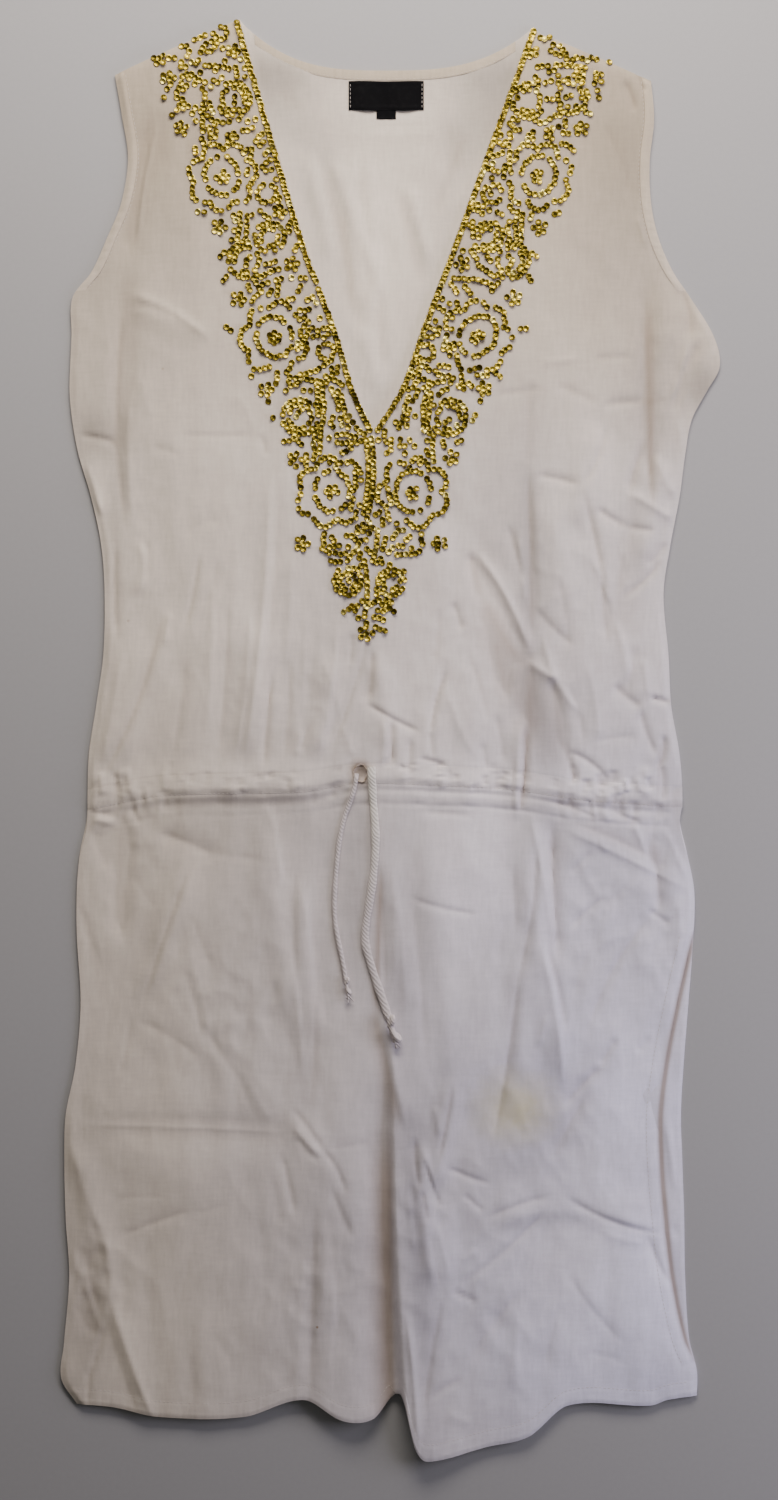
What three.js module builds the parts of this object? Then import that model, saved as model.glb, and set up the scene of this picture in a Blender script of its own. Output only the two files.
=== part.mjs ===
// A sleeveless cotton tunic dress with a deep V neck and a drawstring waist,
// laid out flat on its back. Millimetres. +X is to the right as one looks down
// on it, +Y runs from the hem to the neck, and +Z rises from the surface it
// lies on. The origin is under the middle of its box.
import * as THREE from 'three';

// ---- driving sizes -------------------------------------------------------

const CLOTH = 1.4; // wall of one layer of cloth
const SEAM = 0.3; // gap between pieces that are sewn together
const HEM_Y = -478; // lower end of the side seams
const BACK_SHORT = 5; // the back panel's hem lies this far inside the front's
const SHOULDER_Y = 478; // nominal height of the shoulder tips
const V_POINT = { x: -11.5, y: 222 }; // foot of the neck opening
const HEM_CENTRE_X = 8; // where the centre line meets the hem
const UNDERARM_Y = 320;

const LEFT_SHOULDER = { tip: [-197.6, 477.7], high: [-108, 518] };
const RIGHT_SHOULDER = { tip: [188, 473.5], high: [101.5, 510.5] };

const BACK_NECK = { x: -3, low: 481, half: 104, riseLeft: 35, riseRight: 29 };
const FACING_WIDTH = 7; // strip along the back neck
const BAND_WIDTH = 7; // turned band along each armhole

const CASING = { y: -38, height: 15, puff: 1.8 }; // drawstring channel
const BILLOW = 2.4; // the front stands this high off the back in the middle
const EDGE_FADE = 16; // relief dies away over this much at seams and edges

const LABEL = { x: -2.5, y: 473.3, width: 54, height: 21, wall: 1, wave: 0.7 };
const TAB = { x: -2.5, width: 14, height: 6, wall: 1 };

// Half the slit at the right seam, where the back shows beyond the front.
const SLIT = { from: -135, to: -455, inset: 16 };

// ---- the outline, one row for each section of the body --------------------

const OUTLINE = [
  { y: -478, left: -225, right: 221 },
  { y: -460, left: -236.2, right: 221 },
  { y: -435, left: -234.3, right: 215.5 },
  { y: -387, left: -230.5, right: 212.6 },
  { y: -345, left: -233, right: 212 },
  { y: -300, left: -234, right: 210.5 },
  { y: -270, left: -233, right: 209.6 },
  { y: -235, left: -226, right: 211.5 },
  { y: -190, left: -222.3, right: 215 },
  { y: -141, left: -225, right: 218.6 },
  { y: -108, left: -225, right: 219 },
  { y: -82, left: -223, right: 214 },
  { y: -58, left: -218, right: 208.7 },
  { y: -40, left: -217.3, right: 210.6 },
  { y: -10, left: -216.5, right: 208.5 },
  { y: 25, left: -211, right: 202.5 },
  { y: 60, left: -206, right: 200.6 },
  { y: 105, left: -205, right: 197 },
  { y: 140, left: -207.5, right: 202 },
  { y: 175, left: -215, right: 208.6 },
  { y: 205, left: -223.8, right: 212.6 },
  { y: 230, left: -228.4, right: 217.4 },
  { y: 250, left: -230.2, right: 228 },
  { y: 268, left: -229.8, right: 237.4 },
  { y: 290, left: -228.8, right: 233 },
  { y: 318, left: -228, right: 216 },
  { y: 336, left: -214.5, right: 204 },
  { y: 360, left: -203.5, right: 193.8 },
  { y: 386, left: -193, right: 188.2 },
  { y: 418, left: -188.2, right: 187 },
  { y: 450, left: -192.8, right: 190.2 },
  { y: 478, left: -197.6, right: 188 },
];

// The two edges of the neck opening, from its foot to the high shoulders.
const V_NECK = [
  { y: 222, left: -11.5, right: -11.5 },
  { y: 252, left: -25, right: 7 },
  { y: 290, left: -36, right: 20.5 },
  { y: 352, left: -59, right: 44 },
  { y: 420, left: -79.6, right: 68.5 },
  { y: 518, left: -108, right: 104 },
];

// The front hem, from the left corner to the right one.
const HEM = [
  { x: -226, y: -478 },
  { x: -200, y: -480 },
  { x: -165, y: -487 },
  { x: -105, y: -487 },
  { x: -62, y: -474.5 },
  { x: -34, y: -489 },
  { x: -12, y: -488 },
  { x: 8, y: -470.7 },
  { x: 18, y: -508 },
  { x: 27, y: -518 },
  { x: 70, y: -508.5 },
  { x: 100, y: -501 },
  { x: 128, y: -479 },
  { x: 188, y: -479 },
  { x: 200, y: -475 },
  { x: 222, y: -472 },
];

// The middle of the drawstring channel, from seam to seam.
const CASING_LINE = [
  { x: -218, y: -44 },
  { x: -164, y: -34 },
  { x: -63, y: -31 },
  { x: -20, y: -25 },
  { x: 44, y: -27 },
  { x: 88, y: -29.5 },
  { x: 135, y: -36.5 },
  { x: 210, y: -42 },
];

// The largest folds: each runs from (x1, y1) to (x2, y2), bowed sideways by
// bow, rises by lift, and falls away within left and right of its line.
const FOLDS = [
  // the deep fold down the middle of the skirt
  { x1: -9, y1: -150, x2: -13, y2: -580, bow: 2, left: 9, right: 34, lift: 8.5 },
  { x1: 0, y1: -170, x2: 5, y2: -580, bow: 2, left: 9, right: 7, lift: -5 },
  { x1: 9, y1: -165, x2: 26, y2: -580, bow: 4, left: 34, right: 8, lift: 7.5 },
  { x1: 44, y1: -240, x2: 30, y2: -330, bow: 2, left: 7, right: 7, lift: 3 },
  { x1: 22, y1: -285, x2: 34, y2: -400, bow: -3, left: 6, right: 6, lift: 3 },
  // skirt, left of it
  { x1: -88, y1: -46, x2: -62, y2: -225, bow: -5, left: 9, right: 12, lift: 3 },
  { x1: -66, y1: -95, x2: -50, y2: -225, bow: -3, left: 7, right: 7, lift: 2.4 },
  { x1: -143, y1: -84, x2: -181, y2: -192, bow: 4, left: 7, right: 10, lift: 2 },
  { x1: -168, y1: -68, x2: -118, y2: -86, bow: 2, left: 7, right: 8, lift: -2 },
  { x1: -192, y1: -46, x2: -196, y2: -150, bow: 2, left: 8, right: 8, lift: -1.8 },
  { x1: -225, y1: -278, x2: -60, y2: -280, bow: 2, left: 14, right: 10, lift: 2 },
  { x1: -76, y1: -266, x2: -30, y2: -325, bow: 3, left: 8, right: 10, lift: 2.4 },
  { x1: -232, y1: -285, x2: -196, y2: -402, bow: 3, left: 12, right: 14, lift: 3.4 },
  { x1: -203, y1: -380, x2: -158, y2: -520, bow: 4, left: 14, right: 12, lift: 3.4 },
  { x1: -218, y1: -352, x2: -214, y2: -440, bow: 0, left: 9, right: 9, lift: -2.4 },
  // skirt, right of it
  { x1: 99, y1: -30, x2: 127, y2: -262, bow: -6, left: 14, right: 12, lift: 4.2 },
  { x1: 117, y1: -52, x2: 122, y2: -172, bow: -2, left: 6, right: 7, lift: -2.6 },
  { x1: 114, y1: -56, x2: 224, y2: -109, bow: 0, left: 9, right: 30, lift: 3.6 },
  { x1: 189, y1: -68, x2: 195, y2: -130, bow: 2, left: 6, right: 6, lift: -2.2 },
  { x1: 168, y1: -215, x2: 108, y2: -308, bow: -6, left: 18, right: 22, lift: -2.2 },
  { x1: 58, y1: -352, x2: 202, y2: -358, bow: 18, left: 24, right: 9, lift: 2.6 },
  { x1: 92, y1: -140, x2: 96, y2: -260, bow: 2, left: 12, right: 10, lift: 2 },
  // bodice
  { x1: -92, y1: 90, x2: -106, y2: -24, bow: 3, left: 9, right: 10, lift: 2.8 },
  { x1: -42, y1: 66, x2: -55, y2: -20, bow: 2, left: 8, right: 9, lift: 2.4 },
  { x1: -166, y1: 82, x2: -208, y2: -26, bow: 4, left: 12, right: 14, lift: 2.4 },
  { x1: -14, y1: 66, x2: 2, y2: -18, bow: 3, left: 8, right: 8, lift: 2.2 },
  { x1: 50, y1: 160, x2: 118, y2: -20, bow: -6, left: 20, right: 16, lift: -3 },
  { x1: 97, y1: 20, x2: 91, y2: -60, bow: -2, left: 5, right: 6, lift: 3 },
  { x1: -162, y1: 455, x2: -192, y2: 336, bow: -4, left: 9, right: 9, lift: -2 },
  { x1: -190, y1: 345, x2: -194, y2: 190, bow: 2, left: 9, right: 9, lift: -2 },
  { x1: -192, y1: 322, x2: -128, y2: 286, bow: -2, left: 8, right: 12, lift: 2.6 },
  { x1: 184, y1: 350, x2: 186, y2: 190, bow: 3, left: 8, right: 10, lift: -2.4 },
  { x1: 196, y1: 205, x2: 176, y2: 120, bow: 3, left: 9, right: 10, lift: 2.6 },
];

// Free ends of the drawstring: each point's place on the cloth.
const CORD_LEFT = {
  width: 3.4,
  route: [
    [-23.6, -25], [-24.6, -31], [-26.6, -39], [-29.6, -47.5], [-32.6, -56.5],
    [-35, -66], [-36.8, -77], [-38, -89], [-39, -101], [-39.6, -112],
    [-39.8, -122], [-39, -133], [-37.2, -144], [-35, -154], [-33, -164],
    [-31.6, -173],
  ],
};
const CORD_RIGHT = {
  width: 5,
  route: [
    [-13, -20], [-12.8, -29], [-12.2, -40], [-11.2, -52], [-10.4, -64],
    [-10.2, -76], [-10.8, -88], [-12.2, -101], [-14, -113.5], [-16, -126],
    [-17.6, -137.5], [-17.4, -147], [-15, -157], [-11.6, -168], [-7.6, -180],
    [-3.6, -191.5], [-0.6, -201],
  ],
};
const CORD_CLEARANCE = 0.4; // a cord lies this far above the facets under it
const KNOT = { start: 1.3, radius: 2.9, neck: 1.4, length: 7.6, tail: 11, fray: 1.9 };
const RISE_POINTS = 4; // over its last points a cord rises to meet its knot

// ---- grid of the front panel ----------------------------------------------

const COLUMNS = 17; // on each side of the centre line
const COLUMN_SPREAD = 1.3; // above 1 crowds the columns at the centre line
const BANDS = [
  { from: HEM_Y, to: CASING.y - CASING.height / 2, rows: 19 },
  { from: CASING.y - CASING.height / 2, to: CASING.y + CASING.height / 2, rows: 3 },
  { from: CASING.y + CASING.height / 2, to: V_POINT.y, rows: 11 },
  { from: V_POINT.y, to: SHOULDER_Y, rows: 13 },
];
const HEM_REACH = 120; // the hem's own curve dies away over this height
const CASING_REACH = 75; // and the channel's over this one
const EYELET = { inner: 1, outer: 3 }; // columns between which the cords come out

// ---- small helpers ---------------------------------------------------------

const mix = (a, b, t) => a + (b - a) * t;

const smooth = (t) => {
  const s = Math.min(1, Math.max(0, t));
  return s * s * (3 - 2 * s);
};

// A smooth curve through a table's rows: the value of `key` at `at` on `axis`.
function through(table, axis, key, at) {
  const last = table.length - 1;
  const clamped = Math.min(table[last][axis], Math.max(table[0][axis], at));
  let i = 0;
  while (i < last - 1 && clamped > table[i + 1][axis]) i += 1;
  const slope = (j) => {
    const a = table[Math.max(0, j - 1)];
    const b = table[Math.min(last, j + 1)];
    return (b[key] - a[key]) / (b[axis] - a[axis]);
  };
  const step = table[i + 1][axis] - table[i][axis];
  const t = (clamped - table[i][axis]) / step;
  const t2 = t * t;
  const t3 = t2 * t;
  return (2 * t3 - 3 * t2 + 1) * table[i][key]
    + (t3 - 2 * t2 + t) * step * slope(i)
    + (3 * t2 - 2 * t3) * table[i + 1][key]
    + (t3 - t2) * step * slope(i + 1);
}

function meshOf(name, positions, triangles, material) {
  const geometry = new THREE.BufferGeometry();
  geometry.setAttribute('position', new THREE.Float32BufferAttribute(positions.flat(), 3));
  geometry.setIndex(triangles.flat());
  geometry.computeVertexNormals();
  const mesh = new THREE.Mesh(geometry, material);
  mesh.name = name;
  return mesh;
}

// A closed wall between two height fields over the same cells. A cell lists
// its four corners counter-clockwise from above.
function clothWall(name, cells, lower, upper, material) {
  const used = [...new Set(cells.flat())];
  const place = new Map(used.map((corner, i) => [corner, i]));
  const positions = [...used.map(upper), ...used.map(lower)];
  const top = (corner) => place.get(corner);
  const under = (corner) => place.get(corner) + used.length;
  const edges = new Set();
  const triangles = [];
  cells.forEach(([a, b, c, d]) => {
    triangles.push([top(a), top(b), top(c)], [top(a), top(c), top(d)]);
    triangles.push([under(a), under(c), under(b)], [under(a), under(d), under(c)]);
    [[a, b], [b, c], [c, d], [d, a]].forEach(([p, q]) => edges.add(`${p},${q}`));
  });
  edges.forEach((edge) => {
    const [p, q] = edge.split(',').map(Number);
    if (edges.has(`${q},${p}`)) return;
    triangles.push([under(p), under(q), top(q)], [under(p), top(q), top(p)]);
  });
  return meshOf(name, positions, triangles, material);
}

// ---- the cloth's outline and relief -----------------------------------------

const centreLine = (y) => {
  const t = (V_POINT.y - y) / (V_POINT.y - HEM_Y);
  return mix(V_POINT.x, HEM_CENTRE_X, Math.max(0, t));
};

const slitInset = (y) => {
  const t = (SLIT.from - y) / (SLIT.from - SLIT.to);
  return t > 0 && t < 1 ? SLIT.inset * Math.sin(Math.PI * t) : 0;
};

// Ends of the row at nominal height h: the side seam, and the centre line or
// the edge of the neck opening.
function rowEnds(side, h) {
  const shoulder = side === 'left' ? LEFT_SHOULDER : RIGHT_SHOULDER;
  const rise = smooth((h - UNDERARM_Y) / (SHOULDER_Y - UNDERARM_Y));
  const inset = side === 'right' ? slitInset(h) : 0;
  const outer = [
    through(OUTLINE, 'y', side, h) - inset,
    h + rise * (shoulder.tip[1] - SHOULDER_Y),
  ];
  if (h <= V_POINT.y) return { outer, inner: [centreLine(h), h] };
  const up = (h - V_POINT.y) / (SHOULDER_Y - V_POINT.y);
  const y = mix(V_POINT.y, shoulder.high[1], up);
  return { outer, inner: [through(V_NECK, 'y', side, y), y] };
}

// Share of the way from the centre line to the seam. The last column keeps
// the width of the armhole band.
function columnShare(column, width) {
  if (column === COLUMNS) return 1;
  const inside = 1 - BAND_WIDTH / width;
  return inside * (column / (COLUMNS - 1)) ** COLUMN_SPREAD;
}

function foldLift(x, y) {
  return FOLDS.reduce((sum, fold) => {
    const dx = fold.x2 - fold.x1;
    const dy = fold.y2 - fold.y1;
    const length = Math.hypot(dx, dy);
    const along = ((x - fold.x1) * dx + (y - fold.y1) * dy) / (length * length);
    if (along <= 0 || along >= 1) return sum;
    const bend = 4 * fold.bow * along * (1 - along);
    const off = ((y - fold.y1) * dx - (x - fold.x1) * dy) / length - bend;
    const reach = off > 0 ? fold.left : fold.right;
    const taper = smooth(along * 4) * smooth((1 - along) * 4);
    return sum + fold.lift * taper * Math.exp(-((off / reach) ** 2));
  }, 0);
}

// Height of the front above its lowest lie, at a share of the row's width.
function relief(x, y, share, width) {
  const opened = smooth((y - V_POINT.y) / 80);
  const arch = mix(1 - share ** 3, 4 * share * (1 - share), opened);
  const toSeam = smooth(((1 - share) * width) / EDGE_FADE);
  const toNeck = mix(1, smooth((share * width) / EDGE_FADE), opened);
  const lift = BILLOW * arch + foldLift(x, y) * toSeam * toNeck;
  return Math.max(0, lift);
}

function frontPoint(side, h, column) {
  const { outer, inner } = rowEnds(side, h);
  const width = Math.hypot(outer[0] - inner[0], outer[1] - inner[1]);
  const share = columnShare(column, width);
  const x = mix(inner[0], outer[0], share);
  const flatY = mix(inner[1], outer[1], share);
  const hemPull = (through(HEM, 'x', 'y', x) - HEM_Y) * (1 - smooth((h - HEM_Y) / HEM_REACH));
  const casingPull = (through(CASING_LINE, 'x', 'y', x) - CASING.y)
    * (1 - smooth((Math.abs(h - CASING.y) - CASING.height / 2) / CASING_REACH));
  const y = flatY + hemPull + casingPull;
  return [x, y, CLOTH + SEAM + relief(x, y, share, width)];
}

// The front's corners, and their numbers by side, row and column.
function buildGrid() {
  const heights = [HEM_Y];
  BANDS.forEach(({ from, to, rows }) => {
    for (let row = 1; row <= rows; row += 1) heights.push(mix(from, to, row / rows));
  });
  const corners = [];
  const numbers = { left: [], right: [] };
  heights.forEach((h, row) => {
    ['left', 'right'].forEach((side) => {
      numbers[side][row] = [];
      for (let column = 0; column <= COLUMNS; column += 1) {
        const shared = side === 'right' && column === 0 && h <= V_POINT.y;
        if (shared) {
          numbers.right[row][0] = numbers.left[row][0];
        } else {
          numbers[side][row][column] = corners.length;
          corners.push(frontPoint(side, h, column));
        }
      }
    });
  });
  return { corners, numbers, heights };
}

// Cells of one side between two rows and two columns.
function cellsOf(grid, side, rows, columns) {
  const at = grid.numbers[side];
  const cells = [];
  for (let row = rows[0]; row < rows[1]; row += 1) {
    for (let column = columns[0]; column < columns[1]; column += 1) {
      const near = column + (side === 'left' ? 1 : 0);
      const far = column + (side === 'left' ? 0 : 1);
      cells.push([at[row][near], at[row][far], at[row + 1][far], at[row + 1][near]]);
    }
  }
  return cells;
}

const grid = buildGrid();
const lastRow = grid.heights.length - 1;
const raised = (corner, by) => {
  const [x, y, z] = grid.corners[corner];
  return [x, y, z + by];
};

// Height of the front's upper facets under a point.
function frontTop(x, y) {
  let found = CLOTH + SEAM + CLOTH;
  const look = (a, b, c) => {
    const [p, q, r] = [a, b, c].map((corner) => grid.corners[corner]);
    const area = (q[0] - p[0]) * (r[1] - p[1]) - (r[0] - p[0]) * (q[1] - p[1]);
    const s = ((x - p[0]) * (r[1] - p[1]) - (r[0] - p[0]) * (y - p[1])) / area;
    const t = ((q[0] - p[0]) * (y - p[1]) - (x - p[0]) * (q[1] - p[1])) / area;
    if (s < 0 || t < 0 || s + t > 1) return;
    found = p[2] + s * (q[2] - p[2]) + t * (r[2] - p[2]) + CLOTH;
  };
  ['left', 'right'].forEach((side) => {
    cellsOf(grid, side, [0, lastRow], [0, COLUMNS]).forEach(([a, b, c, d]) => {
      look(a, b, c);
      look(a, c, d);
    });
  });
  return found;
}

// ---- materials -------------------------------------------------------------

const cotton = (color) => new THREE.MeshStandardMaterial({ color, roughness: 0.92, metalness: 0 });
const frontCotton = cotton('#cfc8c4');
const backCotton = cotton('#c9c3bf');
const facingCotton = cotton('#d2cbc6');
const tieCotton = cotton('#cbc6bd');
const labelSatin = new THREE.MeshStandardMaterial({ color: '#14141a', roughness: 0.6, metalness: 0 });

// ---- the pieces ------------------------------------------------------------

const backNeckY = (x) => {
  const t = (x - BACK_NECK.x) / BACK_NECK.half;
  const rise = t < 0 ? BACK_NECK.riseLeft : BACK_NECK.riseRight;
  return BACK_NECK.low + rise * Math.abs(t) ** 3;
};

// One flat layer in the whole outline, with a shallow neck.
function backPanel() {
  const low = HEM_Y + BACK_SHORT;
  const rows = grid.heights.filter((h) => h > low);
  const seam = (side) => rows.map((h) => {
    const [x, y] = rowEnds(side, h).outer;
    return [side === 'right' ? x + slitInset(h) : x, y];
  });
  const hemEnds = { left: through(OUTLINE, 'y', 'left', low), right: through(OUTLINE, 'y', 'right', low) };
  const hem = HEM.filter(({ x }) => x > hemEnds.left && x < hemEnds.right);
  const neck = [];
  const steps = 14;
  for (let i = 1; i < steps; i += 1) {
    const x = mix(LEFT_SHOULDER.high[0], RIGHT_SHOULDER.high[0], i / steps);
    neck.push([x, backNeckY(x)]);
  }
  const outline = [
    [hemEnds.left, low], ...seam('left'), LEFT_SHOULDER.high, ...neck,
    RIGHT_SHOULDER.high, ...seam('right').reverse(), [hemEnds.right, low],
    ...hem.map(({ x, y }) => [x, y + BACK_SHORT]).reverse(),
  ];
  const shape = new THREE.Shape(outline.map(([x, y]) => new THREE.Vector2(x, y)));
  const geometry = new THREE.ExtrudeGeometry(shape, { depth: CLOTH, bevelEnabled: false });
  const mesh = new THREE.Mesh(geometry, backCotton);
  mesh.name = 'back_panel';
  return mesh;
}

// One height field from hem to shoulders, split by the neck opening.
function frontPanel() {
  const all = ['left', 'right'].flatMap((side) => cellsOf(grid, side, [0, lastRow], [0, COLUMNS]));
  return clothWall('front_panel', all, (c) => raised(c, 0), (c) => raised(c, CLOTH), frontCotton);
}

// The channel on the front, in two halves with the eyelet between them. It is
// fullest along its middle rows, where the drawstring runs.
function waistCasing(side) {
  const first = BANDS[0].rows;
  const rows = [first, first + BANDS[1].rows];
  const cells = side === 'left'
    ? cellsOf(grid, 'left', rows, [EYELET.outer, COLUMNS])
    : [...cellsOf(grid, 'left', rows, [0, EYELET.inner]), ...cellsOf(grid, 'right', rows, [0, COLUMNS])];
  const rim = new Set(['left', 'right'].flatMap((s) => rows.flatMap((row) => grid.numbers[s][row])));
  const puff = (corner) => (rim.has(corner) ? 0 : CASING.puff);
  return clothWall(
    `waist_casing_${side}`,
    cells,
    (c) => raised(c, CLOTH + SEAM),
    (c) => raised(c, CLOTH + SEAM + CLOTH + puff(c)),
    facingCotton,
  );
}

// The turned band that finishes an armhole, on the front's outermost column.
function armholeBand(side) {
  const first = grid.heights.findIndex((h) => h >= UNDERARM_Y);
  const cells = cellsOf(grid, side, [first, lastRow], [COLUMNS - 1, COLUMNS]);
  return clothWall(
    `armhole_band_${side}`,
    cells,
    (c) => raised(c, CLOTH + SEAM),
    (c) => raised(c, CLOTH + SEAM + 1),
    facingCotton,
  );
}

// A narrow strip inside the back neck, from one shoulder seam to the other.
function neckFacing() {
  const steps = 24;
  const from = LEFT_SHOULDER.high[0] + 11;
  const to = RIGHT_SHOULDER.high[0] - 11;
  const corners = [];
  for (let i = 0; i <= steps; i += 1) {
    const x = mix(from, to, i / steps);
    corners.push([x, backNeckY(x) - FACING_WIDTH], [x, backNeckY(x)]);
  }
  const cells = [];
  for (let i = 0; i < steps; i += 1) cells.push([2 * i, 2 * i + 2, 2 * i + 3, 2 * i + 1]);
  const at = (z) => (c) => [...corners[c], z];
  return clothWall('neck_facing', cells, at(CLOTH + SEAM), at(CLOTH + SEAM + 1), facingCotton);
}

// A woven plate on the back's inside, a little wavy along its length.
function wovenPlate(name, { x, width, height, wall }, top, wave) {
  const steps = 8;
  const corners = [];
  for (let i = 0; i <= steps; i += 1) {
    const across = x + width * (i / steps - 0.5);
    const lift = wave * (1 - Math.cos((4 * Math.PI * i) / steps)) / 2;
    corners.push([across, top - height, lift], [across, top, 0]);
  }
  const cells = [];
  for (let i = 0; i < steps; i += 1) cells.push([2 * i, 2 * i + 2, 2 * i + 3, 2 * i + 1]);
  const at = (z) => (c) => [corners[c][0], corners[c][1], corners[c][2] + z];
  return clothWall(name, cells, at(CLOTH + SEAM), at(CLOTH + SEAM + wall), labelSatin);
}

// Where a cord's knot starts, and the way it points, level with the surface.
function knotSeat({ route }) {
  const [x, y] = route[route.length - 1];
  const [beforeX, beforeY] = route[route.length - 2];
  const heading = new THREE.Vector3(x - beforeX, y - beforeY, 0).normalize();
  const under = [];
  for (let t = 0; t <= KNOT.length + KNOT.tail; t += KNOT.radius) {
    [-KNOT.radius, 0, KNOT.radius].forEach((side) => {
      under.push(frontTop(x + heading.x * t + side, y + heading.y * t));
    });
  }
  const z = Math.max(...under) + KNOT.radius + CORD_CLEARANCE;
  return { start: new THREE.Vector3(x, y, z), heading };
}

// The cord's middle line, laid on the facets of the front and rising to its knot.
function cordPoints(cord) {
  const radius = cord.width / 2;
  const { start } = knotSeat(cord);
  const last = cord.route.length - 1;
  return cord.route.map(([x, y], i) => {
    const halfway = [i - 1, i, i + 1].map((j) => cord.route[j] ?? [x, y])
      .map((next) => [mix(x, next[0], 0.5), mix(y, next[1], 0.5)]);
    const under = halfway.flatMap(([atX, atY]) => (
      [-radius, 0, radius].map((side) => frontTop(atX + side, atY))
    ));
    const lying = Math.max(...under) + radius + CORD_CLEARANCE;
    const rise = smooth((i - last + RISE_POINTS) / RISE_POINTS);
    return new THREE.Vector3(x, y, Math.max(lying, mix(lying, start.z, rise)));
  });
}

function drawstring(side, cord) {
  const section = new THREE.Shape();
  section.absarc(0, 0, cord.width / 2, 0, 2 * Math.PI, false);
  const curve = new THREE.CatmullRomCurve3(cordPoints(cord));
  const geometry = new THREE.ExtrudeGeometry(section, {
    steps: 2 * cord.route.length, curveSegments: 8, extrudePath: curve, bevelEnabled: false,
  });
  const mesh = new THREE.Mesh(geometry, tieCotton);
  mesh.name = `drawstring_${side}`;
  return mesh;
}

// An overhand knot and its frayed tail, one turned solid in line with the end
// of the cord.
function drawstringKnot(side, cord) {
  const profile = [
    [0, SEAM], [KNOT.start, SEAM], [KNOT.radius, 0.4 * KNOT.length], [KNOT.radius, 0.65 * KNOT.length],
    [KNOT.neck, KNOT.length], [KNOT.fray, KNOT.length + 0.6 * KNOT.tail], [0, KNOT.length + KNOT.tail],
  ].map(([r, y]) => new THREE.Vector2(r, y));
  const mesh = new THREE.Mesh(new THREE.LatheGeometry(profile, 10), tieCotton);
  mesh.name = `drawstring_knot_${side}`;
  const { start, heading } = knotSeat(cord);
  mesh.quaternion.setFromUnitVectors(new THREE.Vector3(0, 1, 0), heading);
  mesh.position.copy(start);
  return mesh;
}

// ---- the dress ---------------------------------------------------------------

const dress = new THREE.Group();
dress.add(
  backPanel(),
  frontPanel(),
  waistCasing('left'),
  waistCasing('right'),
  armholeBand('left'),
  armholeBand('right'),
  neckFacing(),
  wovenPlate('neck_label', LABEL, LABEL.y, LABEL.wave),
  wovenPlate('size_tab', TAB, LABEL.y - LABEL.height - SEAM, 0),
  drawstring('left', CORD_LEFT),
  drawstring('right', CORD_RIGHT),
  drawstringKnot('left', CORD_LEFT),
  drawstringKnot('right', CORD_RIGHT),
);

export default dress;
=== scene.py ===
"""A sleeveless cotton tunic dress, laid out flat: its cloth, sequins, stitches
and finishes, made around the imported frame. Tables are in millimetres, as in
the part's source; meshes are in metres."""

import math
import random
from collections import defaultdict, namedtuple
from functools import partial

import bmesh
import bpy
from bpy.props import FloatProperty, FloatVectorProperty, IntProperty, PointerProperty
from mathutils import Matrix, Vector, noise
from mathutils.bvhtree import BVHTree


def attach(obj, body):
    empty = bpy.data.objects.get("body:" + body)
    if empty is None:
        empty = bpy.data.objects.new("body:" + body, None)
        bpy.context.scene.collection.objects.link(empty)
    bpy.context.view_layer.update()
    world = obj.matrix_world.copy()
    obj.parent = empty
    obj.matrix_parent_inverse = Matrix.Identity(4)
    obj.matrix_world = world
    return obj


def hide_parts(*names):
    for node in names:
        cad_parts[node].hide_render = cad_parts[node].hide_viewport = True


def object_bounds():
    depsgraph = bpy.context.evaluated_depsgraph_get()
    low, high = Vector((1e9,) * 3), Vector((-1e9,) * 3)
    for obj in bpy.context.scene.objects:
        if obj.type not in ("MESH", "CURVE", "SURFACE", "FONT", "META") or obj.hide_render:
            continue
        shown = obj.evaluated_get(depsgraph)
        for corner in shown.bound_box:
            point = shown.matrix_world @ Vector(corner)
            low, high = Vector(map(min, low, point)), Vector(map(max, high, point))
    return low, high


bl_info = {
    "name": "Tunic Dress",
    "version": (1, 0, 0),
    "blender": (4, 5, 0),
    "location": "View3D > Sidebar > Tunic",
    "description": "Builds the cloth, sequins, stitching and ties of a tunic dress laid flat",
    "category": "Add Mesh",
}

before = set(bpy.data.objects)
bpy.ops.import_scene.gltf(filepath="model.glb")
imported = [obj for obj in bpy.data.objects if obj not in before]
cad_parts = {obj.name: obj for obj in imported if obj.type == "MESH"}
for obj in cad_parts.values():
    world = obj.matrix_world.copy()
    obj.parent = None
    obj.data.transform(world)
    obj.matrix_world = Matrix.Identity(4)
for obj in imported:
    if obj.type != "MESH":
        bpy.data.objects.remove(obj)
CAD_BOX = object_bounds()
MM = 0.001
BODY = "root"


def table_of(kind, table):
    """A table's rows, with their columns named."""
    return [kind(*row) for row in table]


# ---- the dress's own sizes, as in the part's source --------------------------

CLOTH = 1.4
SEAM = 0.3
HEM_Y = -478
BACK_SHORT = 5
SHOULDER_Y = 478
V_POINT = Vector((-11.5, 222))
HEM_CENTRE_X = 8
UNDERARM_Y = 320
Shoulder = namedtuple("Shoulder", "tip high")
SHOULDERS = {
    "left": Shoulder(Vector((-197.6, 477.7)), Vector((-108, 518))),
    "right": Shoulder(Vector((188, 473.5)), Vector((101.5, 510.5))),
}
NECK_X, NECK_LOW, NECK_HALF, NECK_RISE_LEFT, NECK_RISE_RIGHT = -3, 481, 104, 35, 29
FACING_WIDTH = 7
BAND_WIDTH = 7
CASING_Y, CASING_HEIGHT = -38, 15
BILLOW = 2.4
EDGE_FADE = 16
SLIT_FROM, SLIT_TO, SLIT_INSET = -135, -455, 16
HEM_REACH = 120
CASING_REACH = 75
LABEL_X, LABEL_Y, LABEL_WIDTH, LABEL_HEIGHT = -2.5, 473.3, 54, 21
TAB_WIDTH, TAB_HEIGHT = 14, 6
FRONT_TOP = CLOTH + SEAM + CLOTH
FRONT_LEAST = 1.8

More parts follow.
